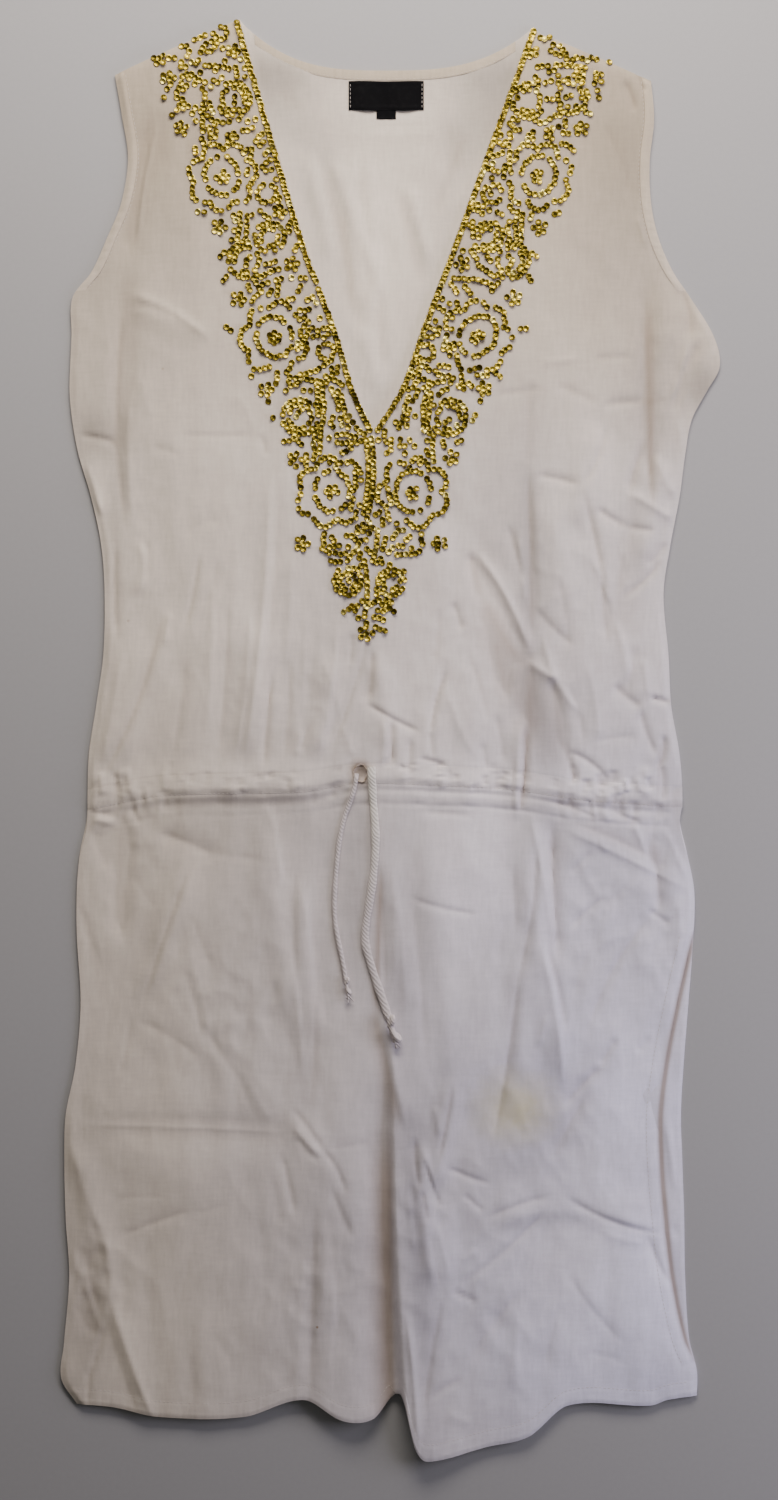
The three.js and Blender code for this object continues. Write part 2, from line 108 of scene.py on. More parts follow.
Section = namedtuple("Section", "y left right")
OUTLINE = table_of(Section, [
    (-478, -225, 221), (-460, -236.2, 221), (-435, -234.3, 215.5), (-387, -230.5, 212.6),
    (-345, -233, 212), (-300, -234, 210.5), (-270, -233, 209.6), (-235, -226, 211.5), (-190, -222.3, 215),
    (-141, -225, 218.6), (-108, -225, 219), (-82, -223, 214), (-58, -218, 208.7), (-40, -217.3, 210.6),
    (-10, -216.5, 208.5), (25, -211, 202.5), (60, -206, 200.6), (105, -205, 197), (140, -207.5, 202),
    (175, -215, 208.6), (205, -223.8, 212.6), (230, -228.4, 217.4), (250, -230.2, 228),
    (268, -229.8, 237.4), (290, -228.8, 233), (318, -228, 216), (336, -214.5, 204), (360, -203.5, 193.8),
    (386, -193, 188.2), (418, -188.2, 187), (450, -192.8, 190.2), (478, -197.6, 188),
])
V_NECK = table_of(Section, [
    (222, -11.5, -11.5), (252, -25, 7), (290, -36, 20.5), (352, -59, 44), (420, -79.6, 68.5),
    (518, -108, 104),
])
Point = namedtuple("Point", "x y")
HEM = table_of(Point, [
    (-226, -478), (-200, -480), (-165, -487), (-105, -487), (-62, -474.5), (-34, -489), (-12, -488),
    (8, -470.7), (18, -508), (27, -518), (70, -508.5), (100, -501), (128, -479), (188, -479), (200, -475),
    (222, -472),
])
CASING_LINE = table_of(Point, [
    (-218, -44), (-164, -34), (-63, -31), (-20, -25), (44, -27), (88, -29.5), (135, -36.5), (210, -42),
])

# The largest folds: each runs from (x1, y1) to (x2, y2), bowed sideways by bow,
# rises by lift, and falls away within left and right of its line.
Fold = namedtuple("Fold", "x1 y1 x2 y2 bow left right lift")
FOLDS = table_of(Fold, [
    # the deep fold down the middle of the skirt
    (-22, -190, -26, -580, 2, 20, 44, 4.5), (-6, -230, 7, -580, -1.5, 6, 14, -2.6),
    (3, -190, 22, -580, -6, 34, 3.8, 6.4), (44, -240, 30, -330, 2, 7, 7, 3),
    (22, -285, 34, -400, -3, 6, 6, 3),
    # skirt, left of it
    (-88, -46, -62, -225, -5, 9, 12, 3), (-66, -95, -50, -225, -3, 7, 7, 2.4),
    (-143, -84, -181, -192, 4, 7, 10, 2), (-168, -68, -118, -86, 2, 7, 8, -1.2),
    (-192, -46, -196, -150, 2, 8, 8, -1.8), (-228, -281, -56, -284, 1, 12, 12, -1.3),
    (-76, -266, -30, -325, 3, 8, 10, 0.9), (-232, -285, -196, -402, 3, 12, 14, 2.2),
    (-208, -380, -166, -520, 4, 14, 12, 1.7), (-218, -352, -214, -440, 0, 9, 9, -1.5),
    # skirt, right of it
    (99, -30, 127, -262, -6, 14, 12, 4.2), (117, -52, 122, -172, -2, 6, 7, -2.6),
    (114, -56, 224, -109, 0, 9, 30, 1.9), (189, -68, 195, -130, 2, 6, 6, -2.2),
    (168, -215, 108, -308, -6, 18, 22, -1.5), (58, -352, 202, -358, 18, 24, 9, 2.6),
    (92, -140, 96, -260, 2, 12, 10, 2), (26, -48, 52, -280, 0, 50, 14, 3),
    (140, -330, 196, -480, 0, 40, 30, 2.5),
    # bodice
    (-92, 90, -106, -24, 3, 9, 10, 2.8), (-42, 66, -55, -20, 2, 8, 9, 2.4),
    (-166, 82, -208, -26, 4, 12, 14, 2.4), (-14, 66, 2, -18, 3, 8, 8, 2.2),
    (50, 160, 118, -20, -6, 20, 16, -3), (97, 20, 91, -60, -2, 5, 6, 3),
    (150, 230, 132, 150, 2, 10, 12, 2.2), (170, 170, 158, 60, 3, 12, 10, -2),
    (120, 180, 128, 60, 0, 12, 10, 1.8), (-162, 455, -192, 336, -4, 9, 9, -2),
    (-190, 345, -194, 190, 2, 9, 9, -2), (-192, 322, -128, 286, -2, 8, 12, 1.3),
    (184, 350, 186, 190, 3, 8, 10, -2.4), (196, 205, 176, 120, 3, 9, 10, 2.6),
])

# The finer creases that lie on them: sharp lines, and the soft drags beside them.
CREASES = table_of(Fold, [
    # bodice, from the left side seam inwards
    (-165, 448, -181, 352, -3, 2.6, 3.2, 1.3), (-173, 450, -187, 340, -2, 4, 4, -0.9),
    (-191, 318, -189, 143, -6, 2.4, 3.4, -1.6), (-186, 258, -184, 150, -3, 4, 2.6, 1),
    (-191, 322, -126, 285, 4, 2.2, 2.6, 1.3), (-189, 312, -146, 300, 3, 2.6, 2.2, -0.8),
    (-225, 219, -190, 211, 1, 2, 2.4, -1.3), (-219, 200, -204, 158, -2, 4, 3, 1.4),
    (-183, 146, -184, 100, 7, 5, 5, 1.2), (-176, 145, -176, 112, 2, 2, 2, -0.8),
    (-197, 146, -196, 66, -1, 2.6, 2.8, -1.3), (-191, 72, -209, -24, 1, 6, 5, 1.3),
    (-163, 94, -209, -32, 6, 2.2, 4.4, -1.5), (-159, 93, -163, 66, 1, 2.4, 2, 0.8),
    (-137, 137, -149, 74, 2, 2, 2.4, -1.1), (-124, 132, -134, 92, 2, 4, 4, -0.7),
    (-150, 145, -120, 158, 3, 6, 6, -0.5), (-180, 262, -172, 230, 1, 3, 4, 0.5),
    (-152, 219, -94, 219, -1, 1.6, 3, -0.6), (-94, 220, -89, 202, 1, 2, 2, -0.8),
    (-172, 210, -150, 203, 1, 3, 3, -0.5), (-111, 250, -98, 222, 2, 3, 5, 0.5),
    (-86, 206, -106, -26, 5, 2.6, 3, 1.3), (-80, 196, -95, 20, 4, 5, 3, -0.5),
    (-84, 52, -90, -24, -1, 1.8, 2.2, -1.8), (-71, 140, -76, 50, 2, 3.4, 4, 0.7),
    (-38, 92, -53, -20, 4, 2.4, 6, 0.9), (-110, 150, -118, 60, 2, 3.4, 4, 0.4),
    (-64, 8, -68, -14, 1, 2, 3, 0.7), (-58, 12, -66, -10, 1, 2, 2, -0.7),
    (-128, 126, -134, -16, 3, 2.6, 4, 0.7), (-116, 110, -124, -20, 2, 2.4, 2.8, -0.7),
    (-100, 104, -113, -22, 3, 2.2, 3, 0.9), (-146, 66, -158, -20, 2, 3, 4, -0.6),
    (-72, 60, -76, -18, 1, 2.4, 3, -0.7), (-60, 100, -64, 20, 1, 2.4, 3, 0.6),
    (-50, 60, -34, 10, 2, 3, 3, 0.5), (-28, 44, -48, -6, 2, 2.4, 2.6, -0.6),
    (-28, 78, -29, 52, 1, 2, 2.4, -0.9), (-16, 70, -43, -12, 1, 1.8, 2, -0.9),
    (-36, 12, -26, -14, 1, 2.4, 3, 0.6), (-13, 66, -16, 24, 2, 1.9, 4, -1.9),
    (-19, 27, 24, 4, -1, 1.7, 2.2, -1.1), (1, 16, 1, -22, 1, 2, 2.2, -1.7),
    (-4, 14, -4, -20, 0, 2.4, 2.6, 0.9),
    # bodice, right of the middle
    (15, 2, 14, -28, 0, 1.8, 2, -0.9), (20, -14, 42, -20, 1, 1.8, 1.8, -1.1),
    (42, 52, 29, 0, -2, 1.7, 2, -1.2), (29, 6, 31, -14, 0, 1.7, 1.8, -0.8),
    (35, 96, 31, 52, 1, 3, 3, -0.5), (44, 100, 52, 76, 1, 2.4, 2.6, -1),
    (56, 136, 66, 100, 1, 2.6, 3.4, -1.3), (66, 104, 98, 50, -2, 5, 4, -1.7),
    (58, 140, 104, 54, 5, 3.6, 3, 1.7), (98, 58, 122, 42, -1, 3, 4, 1.5),
    (74, 76, 84, 26, 1, 3, 3.6, -1.1), (84, 156, 97, 110, 1, 2.4, 2.6, -1.2),
    (40, 40, 64, -16, -3, 4, 4, 0.5), (56, 60, 70, 10, 2, 3, 3, -0.6), (76, 20, 82, -20, 1, 3, 3, -0.7),
    (66, -2, 70, -24, 0, 2, 2, -0.6), (120, 120, 128, 60, 2, 3, 3, -0.6),
    (140, 60, 150, -10, 3, 4, 4, 0.7), (160, 90, 172, 40, 2, 3, 4, 0.8),
    (128, 40, 140, -6, 2, 3, 3, -0.6), (92, 150, 98, 96, 0, 2, 2, 0.8),
    (100, 262, 99, 186, 0, 3, 3, -0.6), (99, 200, 103, 64, 1, 2.4, 2.8, -2.1),
    (101, 74, 99, -12, 1, 3.6, 3.2, -0.9), (98, 12, 93, -56, 2, 1.7, 2, -2.8),
    (89, -10, 88, -56, 0, 1.6, 2, -0.8), (104, 190, 138, 182, 1, 2.6, 2.6, -1),
    (156, 226, 137, 180, 3, 2, 2.2, -0.9), (137, 184, 156, 62, 5, 2, 3, -1.5),
    (146, 130, 158, 96, 1, 2.4, 2.2, 0.9), (167, 134, 164, 104, 1, 2, 2.4, -0.6),
    (196, 130, 164, 100, 3, 1.8, 2.4, -1.1), (200, 142, 184, 124, 1, 3, 3, -0.9),
    (183, 322, 188, 160, 1, 2.2, 2.6, -2), (186, 218, 172, 174, -2, 3, 2.4, -1.5),
    (190, 206, 206, 172, -1, 3, 3, 1.2), (171, 178, 207, 156, 0, 3.2, 2.8, 1.3),
    (148, 167, 172, 152, -1, 2.2, 2.6, -1.3), (168, 153, 192, 149, 0, 2.4, 2.6, -1.1),
    (150, 240, 203, 243, 1, 2.6, 2.8, -0.9), (118, 256, 152, 240, 0, 2, 2.6, -0.5),
    (106, 271, 137, 274, -1, 2.2, 2, 0.5), (144, 272, 176, 274, 1, 2, 2, -0.5),
    (72, 247, 112, 252, 0, 2, 2.4, -0.5), (208, 328, 216, 284, 3, 4, 4, -1.4),
    (226, 290, 204, 232, -3, 3.6, 3.6, -1.2), (214, 286, 200, 240, 2, 3, 3, 1.1),
    (206, 232, 212, 190, 1, 3, 3, 0.8), (176, 378, 184, 352, 1, 2.4, 2.4, 0.7),
    (168, 474, 177, 450, 1, 2.6, 3, -1.3), (177, 480, 184, 464, 0, 2, 2, -1),
    (150, 448, 176, 382, 3, 5, 5, -0.5), (160, 40, 182, 22, -1, 4, 4, -1.5),
    (180, 24, 193, -14, -2, 2.6, 3, -1.2), (186, 30, 204, 26, 0, 1.7, 1.9, -1.5),
    (197, 4, 193, -22, 2, 1.7, 1.9, -2), (194, -16, 196, -46, 2, 1.7, 1.9, -1.9),
    (184, -18, 183, -44, 1, 3, 4, 1.2), (150, -34, 158, -48, 2, 2.2, 2.4, 1.6),
    (112, -44, 152, -58, 1, 2, 2.4, -1.5), (158, -50, 182, -60, -1, 2.2, 2.4, -1.3),
    (126, -8, 160, -34, 4, 2, 2.4, -1.2), (115, 46, 124, -8, 2, 3, 3.4, -1.5),
    (123, 2, 134, -34, 1, 2, 2.6, -1.4), (110, 82, 142, 14, -8, 3, 3.4, 1),
    (104, 96, 134, 66, -2, 3, 4, -0.8), (176, 70, 170, 30, 1, 4, 4, -0.7),
    (182, 60, 186, 28, 0, 3, 3, 0.8), (144, -2, 182, 2, 1, 3, 3, -0.5),
    # skirt, left of the middle fold
    (-200, -20, -195, -54, 2, 1.7, 1.9, -1.2), (-190, -18, -186, -44, 1, 3, 4, 0.9),
    (-208, -22, -206, -42, 0, 3, 3, 1.2), (-226, -50, -206, -30, 3, 2, 2.4, -1.4),
    (-219, -52, -196, -55, 0, 2, 2.4, -1.7), (-214, -58, -198, -60, 0, 3, 3, 1.4),
    (-186, -48, -179, -62, 0, 2, 2, -1.4), (-190, -40, -191, -152, -4, 1.7, 2, -1.5),
    (-213, -64, -204, -96, 1, 3, 3.4, -1.2), (-226, -112, -206, -198, 3, 2.4, 3, -1.5),
    (-206, -192, -224, -236, -1, 2.6, 2.4, -1), (-170, -66, -124, -84, 1, 2, 2.8, -1.1),
    (-128, -82, -82, -88, 0, 2.4, 3, -0.6), (-141, -84, -179, -195, -1, 1.9, 2.4, -1.7),
    (-185, -198, -196, -246, 1, 2, 2.4, -0.8), (-144, -122, -126, -168, -1, 4, 4, -0.9),
    (-150, -158, -134, -218, 1, 4, 3.4, -1.2), (-143, -158, -128, -216, 1, 3, 4, 0.9),
    (-133, -208, -108, -246, 0, 4, 3.4, -1.2), (-184, -202, -134, -232, 3, 4, 4, -1.3),
    (-112, -236, -94, -278, 0, 3, 3, -0.7), (-104, -240, -84, -276, -1, 3, 3, 0.6),
    (-188, -96, -168, -124, 1, 4, 4, -0.6), (-90, -44, -78, -108, 3, 2.4, 2.8, 1.4),
    (-86, -56, -72, -106, 0, 3, 2.4, -0.8), (-68, -90, -67, -190, -1, 2, 2.4, -1.3),
    (-66, -92, -51, -214, 2, 2.4, 2.4, 1.2), (-71, -150, -62, -250, 1, 2.4, 2.6, 1.6),
    (-59, -116, -58, -272, 5, 4, 4, -1.9), (-86, -168, -70, -228, 1, 4, 4, -0.6),
    (-230, -277, -66, -283, 1, 2.2, 2.6, 0.9), (-222, -271, -70, -276, 1, 4, 4, -0.3),
    (-71, -264, -46, -298, 1, 2, 2, -1.5), (-70, -276, -48, -300, -1, 2, 2, 1.2),
    (-68, -284, -50, -304, -1, 2, 2.4, -0.9), (-50, -292, -31, -328, 3, 2, 2.4, -1.8),
    (-43, -320, -26, -360, 0, 1.9, 2.4, -1.3), (-48, -294, -10, -288, -1, 2.4, 2, -0.5),
    (-79, -294, -68, -344, 1, 2, 2.4, -1.5), (-84, -312, -78, -352, 0, 3, 3, -0.8),
    (-92, -300, -90, -360, 1, 4, 4, 0.5), (-54, -330, -58, -480, 1, 2.6, 4, -1.8),
    (-62, -360, -66, -470, 0, 4, 4, 0.9), (-46, -330, -36, -440, 2, 4, 4, -0.9),
    (-40, -380, -46, -462, 1, 3, 3, 0.6), (-229, -286, -205, -356, -3, 3, 3.4, 1.9),
    (-205, -350, -200, -410, 1, 3.4, 3.4, 1.3), (-203, -395, -166, -496, -2, 4, 3, 2.2),
    (-206, -412, -180, -488, -1, 3, 3, -0.8), (-224, -304, -208, -350, -2, 3, 3, -1.2),
    (-216, -340, -204, -392, 1, 3, 3, -0.9), (-228, -368, -203, -371, 1, 3.4, 2.6, -0.3),
    (-222, -388, -206, -428, 1, 2.4, 2.6, 1.6), (-216, -384, -208, -424, 0, 2, 2.2, -1.2),
    (-228, -404, -210, -430, -1, 3, 3, -1.1), (-205, -422, -218, -462, 1, 2, 2.4, -1.5),
    (-216, -452, -217, -480, 0, 2, 2, -1.2), (-196, -359, -140, -338, 1, 3.4, 3, -1.2),
    (-142, -342, -114, -334, 0, 3, 3, -0.5), (-142, -352, -150, -402, 1, 3, 3, -0.4),
    (-160, -396, -166, -452, 1, 4, 4, 0.4), (-126, -426, -112, -452, 0, 3, 3, -0.5),
    (-142, -440, -140, -480, 0, 3, 3, -0.5), (-200, -331, -158, -329, 1, 2.4, 2.4, -0.4),
    # skirt, right of the middle fold
    (-8, -84, -4, -188, 1, 3, 3.4, -2), (-4, -176, -10, -214, 0, 3, 3.4, -1.2),
    (-7, -192, 13, -284, 0, 10, 3, 2), (2, -84, 4, -180, 1, 3, 5, 0.9),
    (14, -96, 26, -244, 2, 4, 4, -0.9), (3, -100, 12, -200, 1, 4, 3, 0.8),
    (12, -113, 66, -126, -2, 1.7, 2, -0.9), (22, -52, 62, -55, 0, 2, 2.2, -0.9),
    (88, -88, 90, -142, 1, 3, 3, -1.1), (84, -124, 76, -160, 0, 3, 3, -0.6),
    (105, -66, 90, -180, 5, 2.2, 2.8, -1.8), (93, -160, 72, -296, 3, 2.6, 2.8, -1.9),
    (99, -44, 121, -164, 1, 4, 3, 1.9), (117, -58, 121, -166, -1, 2, 2, -1.9),
    (106, -138, 125, -256, 4, 2.2, 3.4, 1.7), (111, -144, 127, -214, 2, 2, 2, -1.8),
    (114, -196, 106, -222, 0, 2.4, 3, 0.7), (118, -61, 218, -110, 1, 2.4, 2.2, 1.1),
    (124, -58, 204, -95, 3, 8, 3, -2.2), (150, -70, 156, -82, 0, 1.8, 1.8, 0.9),
    (174, -58, 187, -92, 1, 2, 2.4, 1.2), (188, -62, 194, -128, 1, 1.7, 2, -1.8),
    (196, -62, 214, -104, 1, 2.4, 2.4, 1), (193, -122, 140, -218, -7, 3, 3.6, -1.3),
    (186, -122, 202, -134, 0, 2, 2, -1.2), (128, -138, 158, -112, 2, 2.2, 2.2, -1),
    (128, -98, 146, -80, 0, 2.2, 2.2, -0.7), (150, -122, 172, -104, -1, 3, 3, -0.6),
    (132, -186, 144, -150, 1, 3, 3, -0.5), (208, -112, 206, -160, 1, 3.4, 3, 1),
    (164, -214, 150, -236, 0, 2.6, 3, -1.3), (154, -234, 124, -266, -1, 2.8, 3.4, -1.7),
    (146, -250, 116, -306, -2, 3.6, 4, -1.3), (178, -226, 188, -214, 0, 3, 3, -0.6),
    (45, -246, 34, -306, 1, 1.9, 2.4, -2), (32, -262, 36, -286, 0, 2.6, 2, 0.9),
    (38, -306, 74, -320, -1, 1.9, 2.2, -1.1), (52, -326, 68, -340, 0, 2, 2.4, -0.9),
    (66, -346, 118, -328, 2, 3, 3.4, -1.3), (48, -394, 116, -334, -3, 2, 2.4, -1.1),
    (50, -376, 64, -366, 0, 2, 2, 0.7), (122, -326, 200, -356, -5, 2.2, 3.2, -1.5),
    (184, -352, 203, -394, -2, 2.4, 3, -1.3), (150, -352, 184, -362, -2, 4, 4, 0.6),
    (18, -284, 22, -324, -1, 2, 2.2, -1.9), (22, -290, 36, -336, 1, 2, 2.4, 1.6),
    (25, -300, 38, -338, -1, 1.9, 2.2, -1.7), (23, -322, 28, -348, 0, 1.8, 2, -1.6),
    (12, -318, 18, -372, 0, 3, 3, 0.9), (30, -340, 44, -392, 1, 3, 3, 0.8),
    (28, -350, 36, -396, 1, 2.4, 2.4, -1), (12, -408, 21, -512, 1, 2.4, 2.8, 1.9),
    (38, -400, 24, -486, -1, 2.2, 2.6, -1.5), (44, -396, 64, -405, 0, 1.8, 2, -1.3),
    (56, -450, 100, -392, 3, 4.6, 5, -1.1), (28, -474, 54, -460, 2, 2, 2.4, -1.1),
    (40, -482, 60, -492, -1, 3, 3, 0.6), (112, -456, 124, -402, 2, 3.4, 4, -0.7),
    (126, -380, 170, -436, -3, 2.6, 3, -0.6), (140, -440, 172, -448, 0, 3, 3, -0.4),
    (88, -470, 92, -420, 0, 5, 5, 0.5),
])
CREASE_POWER = 1.25  # below 2 a crease is sharper than a rounded fold

# Brown shade gathered deep in the middle fold, along the slit and in a few pleats.
DUSK = table_of(Fold, [
    (0, -258, 4, -560, -2, 3, 13, 1.2), (-6, -84, -10, -206, 0, 2, 3.4, 1.3),
    (-12, -190, 9, -282, 0, 2, 8, 1), (98, 12, 93, -58, 2, 1.3, 1.3, 0.15),
    (195, 0, 194, -46, -1, 1, 1, 0.5), (97, 120, 101, -20, 1, 5, 5, 0.25),
    (186, 330, 188, 150, 1, 3.4, 3.4, 0.6), (70, 100, 116, -20, -3, 14, 12, 0.2),
    (108, 44, 124, -26, 2, 11, 11, 0.16), (-176, -45, -30, -42, 0, 4, 5, 0.3),
    (70, -43, 236, -49, 0, 4, 5, 0.2),
])

# Soft drags in the back, seen through the neck opening and along the slit.
BACK_CREASES = table_of(Fold, [
    (-50, 424, -20, 286, 3, 4, 5, -1), (-42, 420, -12, 330, 2, 4, 4, 1.1),
    (-62, 430, -40, 340, 1, 4, 5, 0.8), (-36, 392, -28, 300, 2, 2.4, 3, -0.8),
    (-31, 388, -22, 310, 2, 2.6, 2.4, 0.7), (-16, 436, -6, 300, -2, 5, 4, 0.6),
    (-8, 330, -6, 262, 1, 3, 3, -0.6), (58, 440, 30, 372, -1, 4, 4, -0.6),
    (4, 400, 26, 322, 1, 4, 5, -0.8), (14, 402, 30, 340, -1, 4, 4, 0.7),
    (-20, 300, -8, 244, 1, 5, 5, 0.7), (40, 448, 52, 404, 1, 6, 6, -0.5),
    (-30, 446, 40, 440, 2, 5, 6, 0.5), (-84, 470, -60, 452, 0, 5, 5, -0.4),
    (-26, 428, -34, 370, 1, 4, 4, 0.5), (202, -352, 214, -358, 0, 2.4, 2.4, -0.7),
    (202, -390, 214, -388, 0, 2.2, 2.2, -0.6), (205, -210, 216, -216, 0, 2.6, 2.6, -0.5),
    (198, -270, 206, -330, 1, 3, 3, 0.5),
])

# Small puckers where the channel's stitching gathers the cloth.
Gather = namedtuple("Gather", "start end count above below lift")
GATHERS = table_of(Gather, [
    (-216, -152, 26, 20, 26, 0.8), (-152, -30, 26, 8, 14, 0.7), (-2, 122, 26, 9, 13, 0.7),
    (122, 208, 36, 14, 26, 1.3),
])

# Places where the cloth is more rumpled than elsewhere.
Rumple = namedtuple("Rumple", "x y reach depth")
RUMPLES = table_of(Rumple, [
    (165, -140, 70, 0.34), (110, -290, 70, 0.22), (26, -330, 34, 0.4), (76, 70, 60, 0.3),
    (-120, -200, 70, 0.2), (-216, -390, 40, 0.4), (150, 120, 60, 0.2), (205, 270, 40, 0.35),
    (-50, -400, 60, 0.22), (60, -420, 70, 0.2), (-190, -60, 50, 0.3), (-60, 20, 60, 0.16),
])

# Broad painted light and shade on the cotton, as a share lighter or darker.
Patch = namedtuple("Patch", "x y across up tone turn", defaults=[0])
FRONT_PATCHES = table_of(Patch, [
    # bodice
    (-110, 95, 70, 100, 0.12), (-110, -66, 74, 26, -0.15), (-110, 50, 16, 50, 0.06),
    (-120, -16, 70, 26, -0.07), (40, 140, 20, 16, 0.12), (30, 40, 34, 75, 0.17),
    (75, 100, 11, 44, 0.34, 28), (106, 12, 13, 42, -0.14, 10), (100, 136, 9, 80, -0.26),
    (82, 170, 18, 50, -0.07), (150, 190, 26, 60, 0.06), (190, 240, 22, 60, -0.2),
    (116, -10, 14, 30, -0.2), (98, 44, 13, 46, -0.13, 20), (190, -14, 18, 44, -0.09),
    (74, 200, 26, 46, -0.07), (-214, 220, 20, 15, -0.24), (226, 252, 15, 18, -0.38),
    (-176, 400, 42, 100, -0.17), (172, 410, 42, 110, -0.27), (-197, 175, 6, 44, -0.2),
    (-216, 332, 16, 22, -0.12), (-212, 140, 9, 46, 0.2, -6), (-214, 20, 10, 40, 0.13, 6),
    (-100, -31, 74, 6, 0.04, 2), (80, -30, 110, 7, 0.12, -3), (-208, 265, 18, 70, -0.1),
    (-188, 190, 10, 60, -0.06),
    # skirt, left of the middle fold
    (-24, -100, 22, 70, -0.16), (-217, -422, 12, 40, -0.24), (-200, -130, 16, 50, 0.06),
    (-110, -300, 60, 12, 0.06), (-188, -430, 10, 46, 0.14, 14), (-58, -292, 13, 32, 0.14),
    (-216, -290, 9, 36, -0.12, 6), (-24, -320, 18, 160, -0.05), (-60, -236, 10, 70, -0.1),
    # skirt, right of it
    (58, -112, 28, 84, 0.22, -4), (40, -250, 18, 66, -0.16, -14), (96, -296, 42, 34, -0.18),
    (172, -250, 26, 50, 0.14), (152, -398, 54, 54, 0.26), (112, -50, 20, 14, -0.12),
    (204, -70, 10, 44, -0.14), (-54, -400, 7, 80, -0.1), (19, -356, 11, 160, -0.3, 4),
    (152, -72, 46, 9, -0.26, -24), (36, -384, 28, 110, -0.08), (12, -180, 13, 56, -0.12),
    (140, -292, 12, 14, 0.12), (66, -346, 18, 8, -0.12, 12), (160, -336, 44, 7, -0.1, -4),
    (122, -200, 12, 30, -0.1), (156, -158, 30, 26, -0.08),
])
# On the back, painted shade with some soiling darkens the neckline, and painted light brightens the
# middle of the V.
BACK_PATCHES = table_of(Patch, [
    (-8, 340, 26, 80, 0.17), (-86, 478, 28, 34, -0.36), (80, 474, 34, 40, -0.38),
    (0, 478, 110, 14, -0.12), (-48, 400, 16, 50, -0.06, 12), (46, 400, 16, 50, -0.08, -12),
    (-4, 432, 60, 12, -0.08), (-62, 440, 34, 26, -0.12), (62, 436, 34, 26, -0.14),
])

# Depth and reach of the groove below the channel, and height of the soft ridge under it.
Waist = namedtuple("Waist", "x groove reach ridge")
WAIST = table_of(Waist, [
    (-218, 0.3, 2.4, 0.1), (-168, 0.5, 4, 0.2), (-150, 0.8, 4.4, 0.2), (-70, 0.7, 4.4, 0.2),
    (-40, 0.5, 3, 0.3), (-12, 0.4, 2, 0.5), (40, 0.6, 1.7, 0.7), (88, 0.7, 1.7, 0.7), (135, 0.8, 2, 0.6),
    (180, 0.7, 2.2, 0.5), (210, 0.3, 2, 0.2),
])
GROOVE_DROP = 4
RIDGE_DROP, RIDGE_REACH = 9, 4
TUCK_DROP, TUCK_REACH = 14, 1.3

# How far the channel stands up.
Fullness = namedtuple("Fullness", "x height")
FULLNESS = table_of(Fullness, [
    (-218, 0.5), (-185, 1.1), (-150, 2.3), (-80, 2.4), (-45, 1.8), (-21, 1.2), (30, 1.5), (80, 1.2),
    (110, 1.4), (140, 1.3), (185, 1), (210, 0.5),
])

# Free ends of the drawstring.
CORDS = {
    "left": [
        (-23.6, -25), (-24.6, -31), (-26.6, -39), (-29.6, -47.5), (-32.6, -56.5), (-35, -66),
        (-36.8, -77), (-38, -89), (-39, -101), (-39.6, -112), (-39.8, -122), (-39, -133),
        (-37.2, -144), (-35, -154), (-33, -164), (-31.6, -173),
    ],
    "right": [
        (-13, -20), (-12.8, -29), (-12.2, -40), (-11.2, -52), (-10.4, -64), (-10.2, -76),
        (-10.8, -88), (-12.2, -101), (-14, -113.5), (-16, -126), (-17.6, -137.5), (-17.4, -147),
        (-15, -157), (-11.6, -168), (-7.6, -180), (-3.6, -191.5), (-0.6, -201),
    ],
}
CORD_WIDTHS = {"left": 3.5, "right": 5.8}

EYELET_X, EYELET_Y = -21, -24.5
EYELET_HALF_WIDTH, EYELET_HALF_HEIGHT = 5, 6

# Rows of the two visible parts of the front, which meet under the channel.
Band = namedtuple("Band", "start end rows")
SKIRT_BANDS = table_of(Band, [
    (-478, -464, 6), (-464, -365, 27), (-365, -262, 36), (-262, -140, 33), (-140, -60, 27),
    (-60, -33, 11),
])
BODICE_BANDS = table_of(Band, [
    (-43, -12, 11), (-12, 140, 48), (140, 222, 24), (222, 300, 20), (300, 478, 37),
])
COLUMNS = 66  # on each side of the middle line; the upper face has twice as many
UNDERLAP = 0.7  # the bodice lies this far under the skirt where they meet


def length(name, description, default, **limits):
    return FloatProperty(name=name, description=description, default=default, unit="LENGTH", **limits)


def colour(name, description, default):
    return FloatVectorProperty(name=name, description=description, default=default,
                               subtype="COLOR", size=3, min=0, max=1)


class TunicSizes(bpy.types.PropertyGroup):
    """Sizes of the sewn and trimmed details."""

    thin_cloth: length("Cloth thickness", "Thickness of one layer of the front", 0.0006,
                       min=0.0002, max=0.001)
    stitch_length: length("Stitch length", "Length of one visible stitch", 0.0022)
    stitch_pitch: length("Stitch pitch", "Distance from one stitch to the next", 0.0031)
    thread: length("Thread", "Thickness of the sewing thread", 0.0003)
    sequin_diameter: length("Sequin diameter", "Width of one cupped sequin", 0.0049)
    sequin_pitch: length("Sequin pitch", "Distance between sequins along a line", 0.0035)
    sequin_tilt: FloatProperty(
        name="Sequin tilt", description="Most that a sequin leans from the cloth",
        default=math.radians(26), subtype="ANGLE")
    seed: IntProperty(name="Seed", description="Start of the fixed random sequences", default=11)


class TunicColours(bpy.types.PropertyGroup):
    """Colours of the cloth and trims."""

    cotton: colour("Cotton", "Off-white of the front", (0.615, 0.55, 0.465))
    # A painted tint that stands in for bluish daylight from the right.
    cotton_daylit: colour("Cool cotton", "Bluish tone towards the lower right", (0.70, 0.69, 0.83))
    # Darker and yellower than the cotton, mixed in towards the top.
    upper_tone: colour("Aged cotton", "Yellowed tone of the shoulders", (0.44, 0.37, 0.275))
    stain: colour("Stain", "Old yellow stain", (0.60, 0.54, 0.30))
    rust: colour("Rust", "Brown mark round the eyelet", (0.24, 0.15, 0.07))
    tie: colour("Tie", "Cotton of the drawstring", (0.70, 0.67, 0.60))
    gold: colour("Gold", "Metal of the sequins", (0.56, 0.43, 0.052))
    label: colour("Label", "Black satin of the bare label", (0.003, 0.003, 0.0035))


